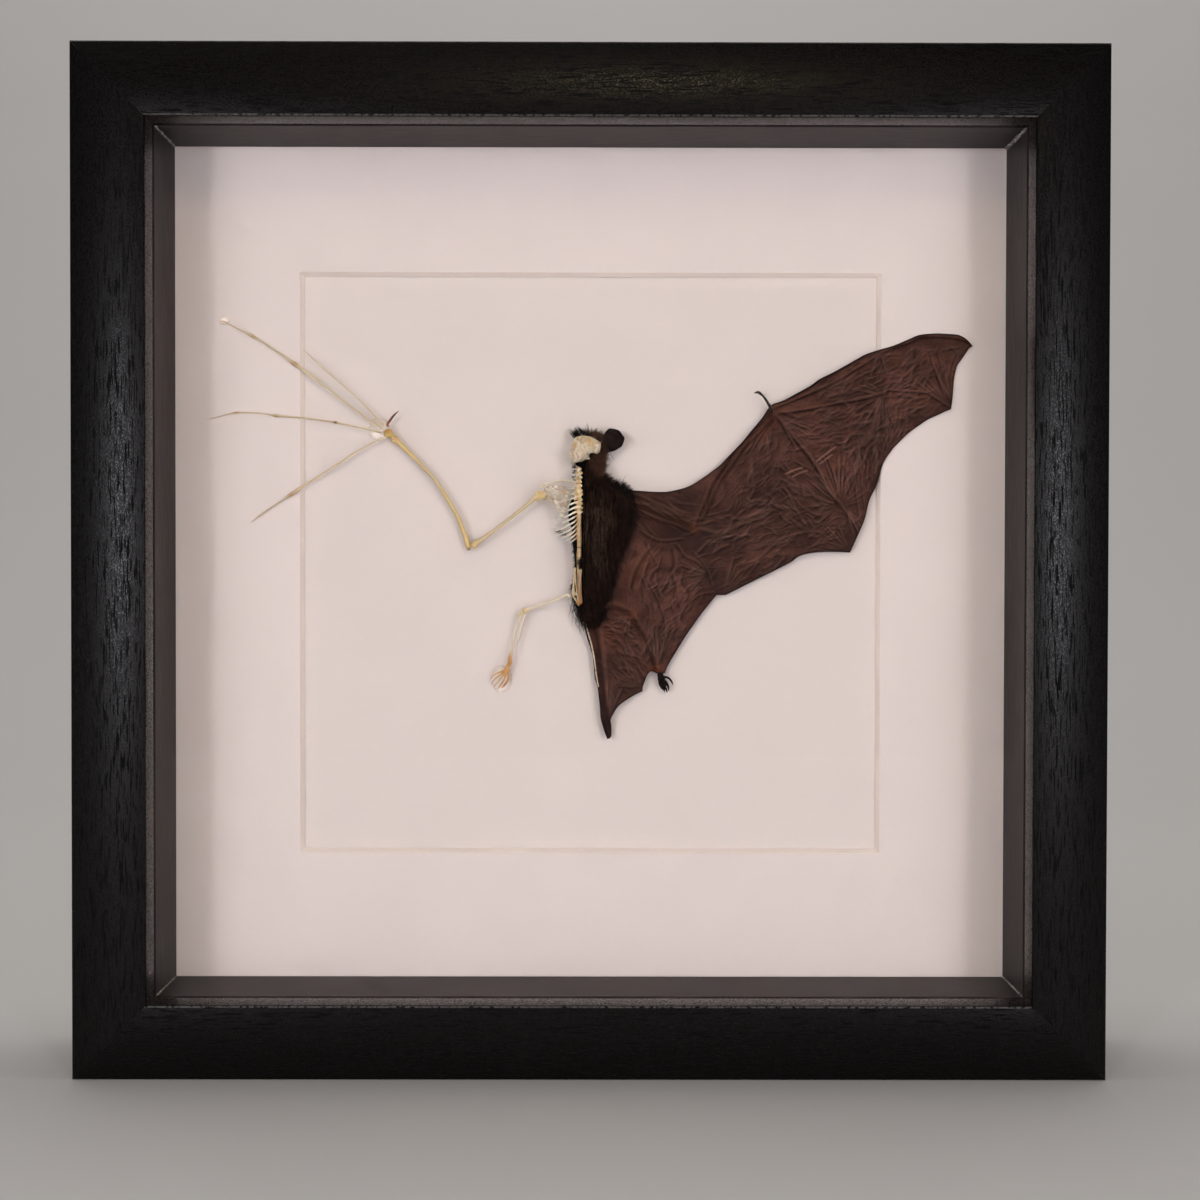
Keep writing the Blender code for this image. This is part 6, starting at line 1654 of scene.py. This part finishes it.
def make_skull(materials):
    """The rounded skull, with the plates, the crack and the broken lower edge that its own outline gives."""
    outline = closed_curve(SKULL_OUTLINE, 0.15)
    shell = sheet(outline, 0.13)
    points = shell[0]
    rise = rounded(rim_distance(points, outline) / SKULL_ROUNDING)
    front = SKULL_MIDDLE_H + SKULL_FRONT_RISE * rise
    back = SKULL_MIDDLE_H - SKULL_BACK_RISE * rise - 0.02
    tone = np.tile(np.array(SKULL_COLOUR), (len(points), 1))
    for depth, width, colour, path in skull_lines():
        index, distance, _ = line_parts(points, path, 4 * width)
        share = bell(distance, width)
        front[index] += depth * share
        tone[index] = over(tone[index], 0.6 * share, colour)
    for u, v, reach, colour in SKULL_PATCHES:
        tone = over(tone, 0.85 * near_spot(points, u, v, reach), colour)
    front += 0.22 * near_spot(points, -2.9, 26.8, math.sqrt(1.3))
    front -= 0.35 * near_spot(points, -0.6, 27.4, math.sqrt(0.7))
    plate_piece("skull_bone", shell, front, back, tone, materials["bone"], "bone", "skull")


def make_scapula(materials):
    """The thin shoulder blade, see-through at its middle, with a raised spine along it."""
    outline = closed_curve(SCAPULA, 0.25)
    blade = sheet(outline, 0.22)
    points = blade[0]
    u, v = points[:, 0], points[:, 1]
    middle = SCAPULA_H + SCAPULA_SLOPE * (u + 5.6)
    relief = 0.12 * bell(rim_distance(points, outline), 0.35)
    tan = np.clip(0.35 + 0.5 * np.sin(1.9 * u + 0.8 * v) * np.sin(1.4 * v - 1.1 * u), 0.0, 1.0)
    for height, path in SCAPULA_RIDGES:
        index, distance, _ = line_parts(points, path, 1.2)
        relief[index] += height * bell(distance, 0.28)
        tan[index] *= 1 - 0.8 * bell(distance, 0.35)
    relief += 0.10 * np.sin(u * 3.1 + v * 1.3) * np.sin(v * 2.3 - u)
    tint = over((0.92, 0.87, 0.76), tan, (0.76, 0.60, 0.36))
    front, back = middle + SCAPULA_FRONT + relief, middle - SCAPULA_BACK
    plate_piece("shoulder_blade", blade, front, back, tint, materials["cartilage"], "bone", "scapula")


def bare_claw_tint(points):
    """Orange at the root of the claw, dark red at its tip."""
    return over((0.46, 0.17, 0.04), np.clip((points[:, 1] - 35.2) / 1.6, 0.0, 1.0), (0.10, 0.016, 0.010))


def make_claws(materials):
    """The two thumbs with their claws."""
    black = toned((0.010, 0.0055, 0.0050), [(42.2, 43.8, 0.8, (0.050, 0.027, 0.019))])
    rows = [
        ("bare_thumb_claw", THUMB, "thumb_bone", bare_claw_tint),
        ("wing_thumb_claw", WING_THUMB, "wing_thumb", black),
    ]
    for name, stations, node, tint in rows:
        fused_piece(name, [tube(stations, 0.3)], 0.07, materials["horn"], (node,), tint)


def make_hind_foot(materials):
    """The dark foot that hangs from the wing skin."""
    parts = [tube(toe, 0.35, 10) for toe in FURRED_TOES] + balls(FOOT_KNOBS)
    tint = toned((0.3, 0.3, 0.3))
    fused_piece("dark_foot", parts, 0.08, materials["hide"], ("hind_foot",), tint)


def make_tail_thread(materials):
    """The pale, broken thread of dried tissue along the cut edge of the tail."""
    tint = toned((0.56, 0.46, 0.33), [(-0.9, -18.4, 0.3, BLACK_BROWN), (1.1, -27.6, 0.4, BLACK_BROWN)])
    for number, (first, last) in enumerate(TAIL_THREAD_PIECES):
        thread = TAIL_THREAD[first:last + 1]
        path = [(u + TAIL_THREAD_SHIFT, v, TAIL_THREAD_H, TAIL_THREAD_RADIUS) for u, v in thread]
        thread_piece(f"tail_thread_{number}", tube(path, 0.3, 8, 0.25, number), tint, materials)


def make_ear(materials):
    """The rounded ear: a shallow cup with a thin dark rim."""
    outline = closed_curve(EAR, 0.2)
    cup_sheet = sheet(outline, 0.18)
    points = cup_sheet[0]
    u, v = points[:, 0], points[:, 1]
    edge = rim_distance(points, outline)
    lie = EAR_ROOT_H + EAR_SLOPE * (u - 3.3)
    cup = 0.30 * bell(edge, 0.35) - 0.40 * np.clip(edge / 2.6, 0, 1) ** 1.3
    ribs = 0.05 * np.sin(3.2 * (v - 31.4) + 1.0 * (u - 5.0)) * np.clip(edge, 0, 1)
    rim = np.clip(bell(edge, 0.5) + 0.6 * bell(u - 3.4, 1.2), 0, 1)
    tint = np.repeat(rim[:, None], 3, axis=1)
    back = lie - EAR_THICKNESS + 0.3 * cup
    plate_piece("ear_cup", cup_sheet, lie + cup + ribs, back, tint, materials["ear"], "ear_skin", "ear")


def make_glue(materials):
    """Low clear drops that hold the bare bones to the board."""
    for seed, (node, (u, v, low, high, along_u, along_v)) in enumerate(GLUE_DROPS.items()):
        turns = np.linspace(0, 2 * math.pi, 48, endpoint=False)
        wave = 1 - 0.03 * (1 + np.sin(2 * turns + seed)) - 0.02 * (1 + np.sin(5 * turns + 2 * seed))
        outline = np.column_stack((u + along_u * wave * np.cos(turns), v + along_v * wave * np.sin(turns)))
        drop = sheet(outline, 0.2)
        points = drop[0]
        edge = rim_distance(points, outline)
        rise = rounded(edge / GLUE_ROUNDING)
        dip = 0.06 * np.sin(points[:, 0] * 2.0 + seed) * np.cos(points[:, 1] * 1.7)
        front = low + GLUE_EDGE_HEIGHT + (high - low - GLUE_EDGE_HEIGHT) * rise + dip * rise - 0.06
        # Painted refraction: a darker ring just inside the drop's edge.
        tint = over(GLUE_CLEAR, bell(edge - 0.35, 0.16), GLUE_PAINTED_RING)
        back = np.full(len(points), low)
        plate_piece(f"{node}_drop", drop, front, back, tint, materials["glue"], "glue", node)


def rail_profile():
    """The rail's section as (inset from the outside, depth from the front), with softened edges."""
    soft, broken = RAIL_SOFTENING, RAIL_BACK_BEVEL
    rise = [(soft * math.sin(t), soft - soft * math.cos(t)) for t in np.radians((0, 30, 60, 90))]
    outer = [(soft - inset, depth) for inset, depth in reversed(rise)]
    inner = [(FACE_WIDTH - soft + inset, depth) for inset, depth in rise]
    back = [
        (FACE_WIDTH, LIP_DEPTH), (REBATE_WALL, LIP_DEPTH), (REBATE_WALL, DEPTH - broken),
        (REBATE_WALL - broken, DEPTH), (broken, DEPTH), (0.0, DEPTH - broken),
    ]
    return outer + inner + back


def liner_profile():
    """The liner strip's section, a plain batten with just broken edges."""
    outside = REBATE_WALL + FIT_GAP
    broken = LINER_BEVEL
    return [
        (outside, LINER_FRONT), (FACE_WIDTH - broken, LINER_FRONT), (FACE_WIDTH, LINER_FRONT + broken),
        (FACE_WIDTH, LINER_BACK - broken), (FACE_WIDTH - broken, LINER_BACK), (outside, LINER_BACK),
    ]


def mitred_strip(profile, turn, gap):
    """One side of the frame along the top, turned by so many quarters, with its two mitred ends."""
    rings = []
    for end in (-1, 1):
        for inset, depth in profile:
            rings.append((end * (HALF - inset - gap), FRONT_Y + depth, HALF - inset))
    count = len(profile)
    turned = Matrix.Rotation(turn * math.pi / 2, 3, "Y")
    points = [turned @ Vector(point) + Vector((0, 0, MIDDLE_Z)) for point in rings]
    faces = [tuple(range(count)), tuple(reversed(range(count, 2 * count)))]
    for i in range(count):
        j = (i + 1) % count
        faces.append((j, i, i + count, j + count))
    return np.array([tuple(point) for point in points]), faces


def make_frame(materials):
    """The four rails, the liner behind the glass, and the glue in the inner mitres."""
    for turn, side in enumerate(SIDES):
        direction = "upright" if turn % 2 else "level"
        foil, liner = materials[f"foil_{direction}"], materials[f"liner_{direction}"]
        strip = mitred_strip(rail_profile(), turn, RAIL_MITRE_GAP)
        rail = make_piece(f"rail_{side}", *strip, foil, "frame_foil", (f"frame_rail_{side}",))
        rail.data.set_sharp_from_angle(angle=math.radians(SHARP_ANGLE))
        strip = mitred_strip(liner_profile(), turn, LINER_MITRE_GAP)
        make_piece(f"liner_strip_{side}", *strip, liner, "liner_foil", (f"liner_{side}",), smooth=False)
    make_mitre_glue(materials)


def make_mitre_glue(materials):
    """Thin crumbly lines where the liner's mitres meet behind the glass."""
    rng = np.random.default_rng(8)
    corners = {
        "top_left": (-1, 1, 1.0), "top_right": (1, 1, 1.3),
        "bottom_right": (1, -1, 0.7), "bottom_left": (-1, -1, 0.6),
    }
    depths = np.linspace(LINER_FRONT + 0.0002, LINER_BACK - 0.0004, MITRE_GLUE_ROWS)
    corner = OPENING_HALF + MITRE_GLUE_PROUD
    for name, (x_side, z_side, weight) in corners.items():
        rings = []
        for depth in depths:
            size = MITRE_GLUE_SIZE * weight * rng.uniform(0.3, 1.5)
            for dx, dz in ((0, 0), (size, 0), (0, size)):
                rings.append((x_side * (corner - dx), FRONT_Y + depth, MIDDLE_Z + z_side * (corner - dz)))
        faces = [(0, 1, 2), (len(rings) - 1, len(rings) - 2, len(rings) - 3)]
        for row in range(0, len(rings) - 3, 3):
            for i, j in ((0, 1), (1, 2), (2, 0)):
                faces.append((row + i, row + j, row + 3 + j, row + 3 + i))
        make_piece(f"mitre_glue_{name}", np.array(rings), faces, materials["scuff"], "liner_foil")


def dress_boards(materials):
    """The flat parts keep their own shape and get their finish."""
    finishes = {"glass_pane": "glass", "mat_board": "mat", "backing_card": "card", "back_panel": "hardboard"}
    fittings = ["hanger", "hanger_rivet_left", "hanger_rivet_right"]
    fittings += [f"retainer_tab_{side}_{number}" for side in SIDES for number in (1, 2)]
    finishes.update(dict.fromkeys(fittings, "steel"))
    for node, finish in finishes.items():
        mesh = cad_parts[node].data
        mesh.materials.clear()
        mesh.materials.append(materials[finish])


def make_studio(materials):
    """The camera, a pale floor that curves up behind, and soft light."""
    add_camera()
    add_floor(materials["floor"])
    for lamp in LAMPS:
        add_lamp(*lamp)
    world = bpy.data.worlds.new("studio")
    world.use_nodes = True
    sky = world.node_tree.nodes["Background"]
    sky.inputs["Color"].default_value = SKY_COLOUR
    sky.inputs["Strength"].default_value = SKY_STRENGTH
    bpy.context.scene.world = world
    bpy.context.scene.view_settings.view_transform = "Standard"


def add_camera():
    """The camera at the photograph's viewing angle."""
    camera = bpy.data.objects.new("camera", bpy.data.cameras.new("camera"))
    pitch, yaw, roll = (math.radians(a) for a in (CAMERA_PITCH, CAMERA_YAW, CAMERA_ROLL))
    turn = Matrix.Rotation(roll, 3, "Y") @ Matrix.Rotation(pitch, 3, "X") @ Matrix.Rotation(yaw, 3, "Z")
    right, forward, up = turn
    basis = Matrix((right, up, -forward)).transposed()
    camera.matrix_world = Matrix.Translation(CAMERA_PLACE) @ basis.to_4x4()
    camera.data.lens = CAMERA_LENS
    camera.data.sensor_width = CAMERA_SENSOR
    camera.data.clip_start = 0.01
    bpy.context.scene.collection.objects.link(camera)
    bpy.context.scene.camera = camera


def add_floor(material):
    """The floor, with a bend up to a wall behind."""
    bend = FLOOR_BEND_RADIUS
    rows = [(FLOOR_FRONT_Y, 0.0), (FLOOR_BEND_Y, 0.0)]
    for t in np.radians(range(10, 91, 10)):
        rows.append((FLOOR_BEND_Y + bend * math.sin(t), bend - bend * math.cos(t)))
    rows.append((FLOOR_BEND_Y + bend, FLOOR_TOP_Z))
    points = [(x, y, z) for y, z in rows for x in (-FLOOR_HALF_WIDTH, FLOOR_HALF_WIDTH)]
    faces = [(2 * i, 2 * i + 1, 2 * i + 3, 2 * i + 2) for i in range(len(rows) - 1)]
    mesh = bpy.data.meshes.new("studio_floor")
    mesh.from_pydata(points, [], faces)
    mesh.shade_smooth()
    mesh.materials.append(material)
    floor = bpy.data.objects.new("studio_floor", mesh)
    bpy.context.scene.collection.objects.link(floor)


def add_lamp(name, spot, target, size, power, colour):
    """A soft lamp, so wide and so high, that looks at the target."""
    lamp = bpy.data.objects.new(name, bpy.data.lights.new(name, "AREA"))
    lamp.data.shape = "RECTANGLE"
    lamp.data.size, lamp.data.size_y = size
    lamp.data.energy = power
    lamp.data.color = colour
    lamp.location = spot
    lamp.rotation_euler = (Vector(target) - Vector(spot)).to_track_quat("-Z", "Y").to_euler()
    bpy.context.scene.collection.objects.link(lamp)


def make_materials():
    """Every finish by its short name."""
    return {
        "foil_level": foil_material("black_foil_level", upright=False),
        "foil_upright": foil_material("black_foil_upright", upright=True),
        "liner_level": liner_material("liner_foil_level", upright=False),
        "liner_upright": liner_material("liner_foil_upright", upright=True),
        "glass": glass_material(),
        "mat": board_material("mat_board_paper", (0.709, 0.632, 0.585), core=(0.77, 0.68, 0.61)),
        "card": board_material("backing_card_paper", (0.681, 0.611, 0.562)),
        "hardboard": hardboard_material(),
        "steel": steel_material(),
        "skin": skin_material(),
        "hair": hair_material(),
        "under_fur": under_fur_material(),
        "ear": hide_material("ear_hide", (0.0060, 0.0034, 0.0030), (0.022, 0.0115, 0.0085), 0.5),
        "hide": hide_material("foot_hide", (0.0050, 0.0034, 0.0032), (0.022, 0.0125, 0.0090), 0.40),
        "bone": bone_material(),
        "horn": horn_material(),
        "cartilage": cartilage_material(),
        "glue": glue_material(),
        "scuff": scuff_material(),
        "floor": floor_material(),
    }


def main():
    """Dress the whole object."""
    materials = make_materials()
    make_studio(materials)
    dress_boards(materials)
    make_frame(materials)
    make_wing(materials)
    make_coat(materials)
    make_fringes(materials)
    make_tail_thread(materials)
    make_ear(materials)
    make_hind_foot(materials)
    make_long_bones(materials)
    make_spine(materials)
    make_skull(materials)
    make_scapula(materials)
    make_claws(materials)
    make_glue(materials)


main()
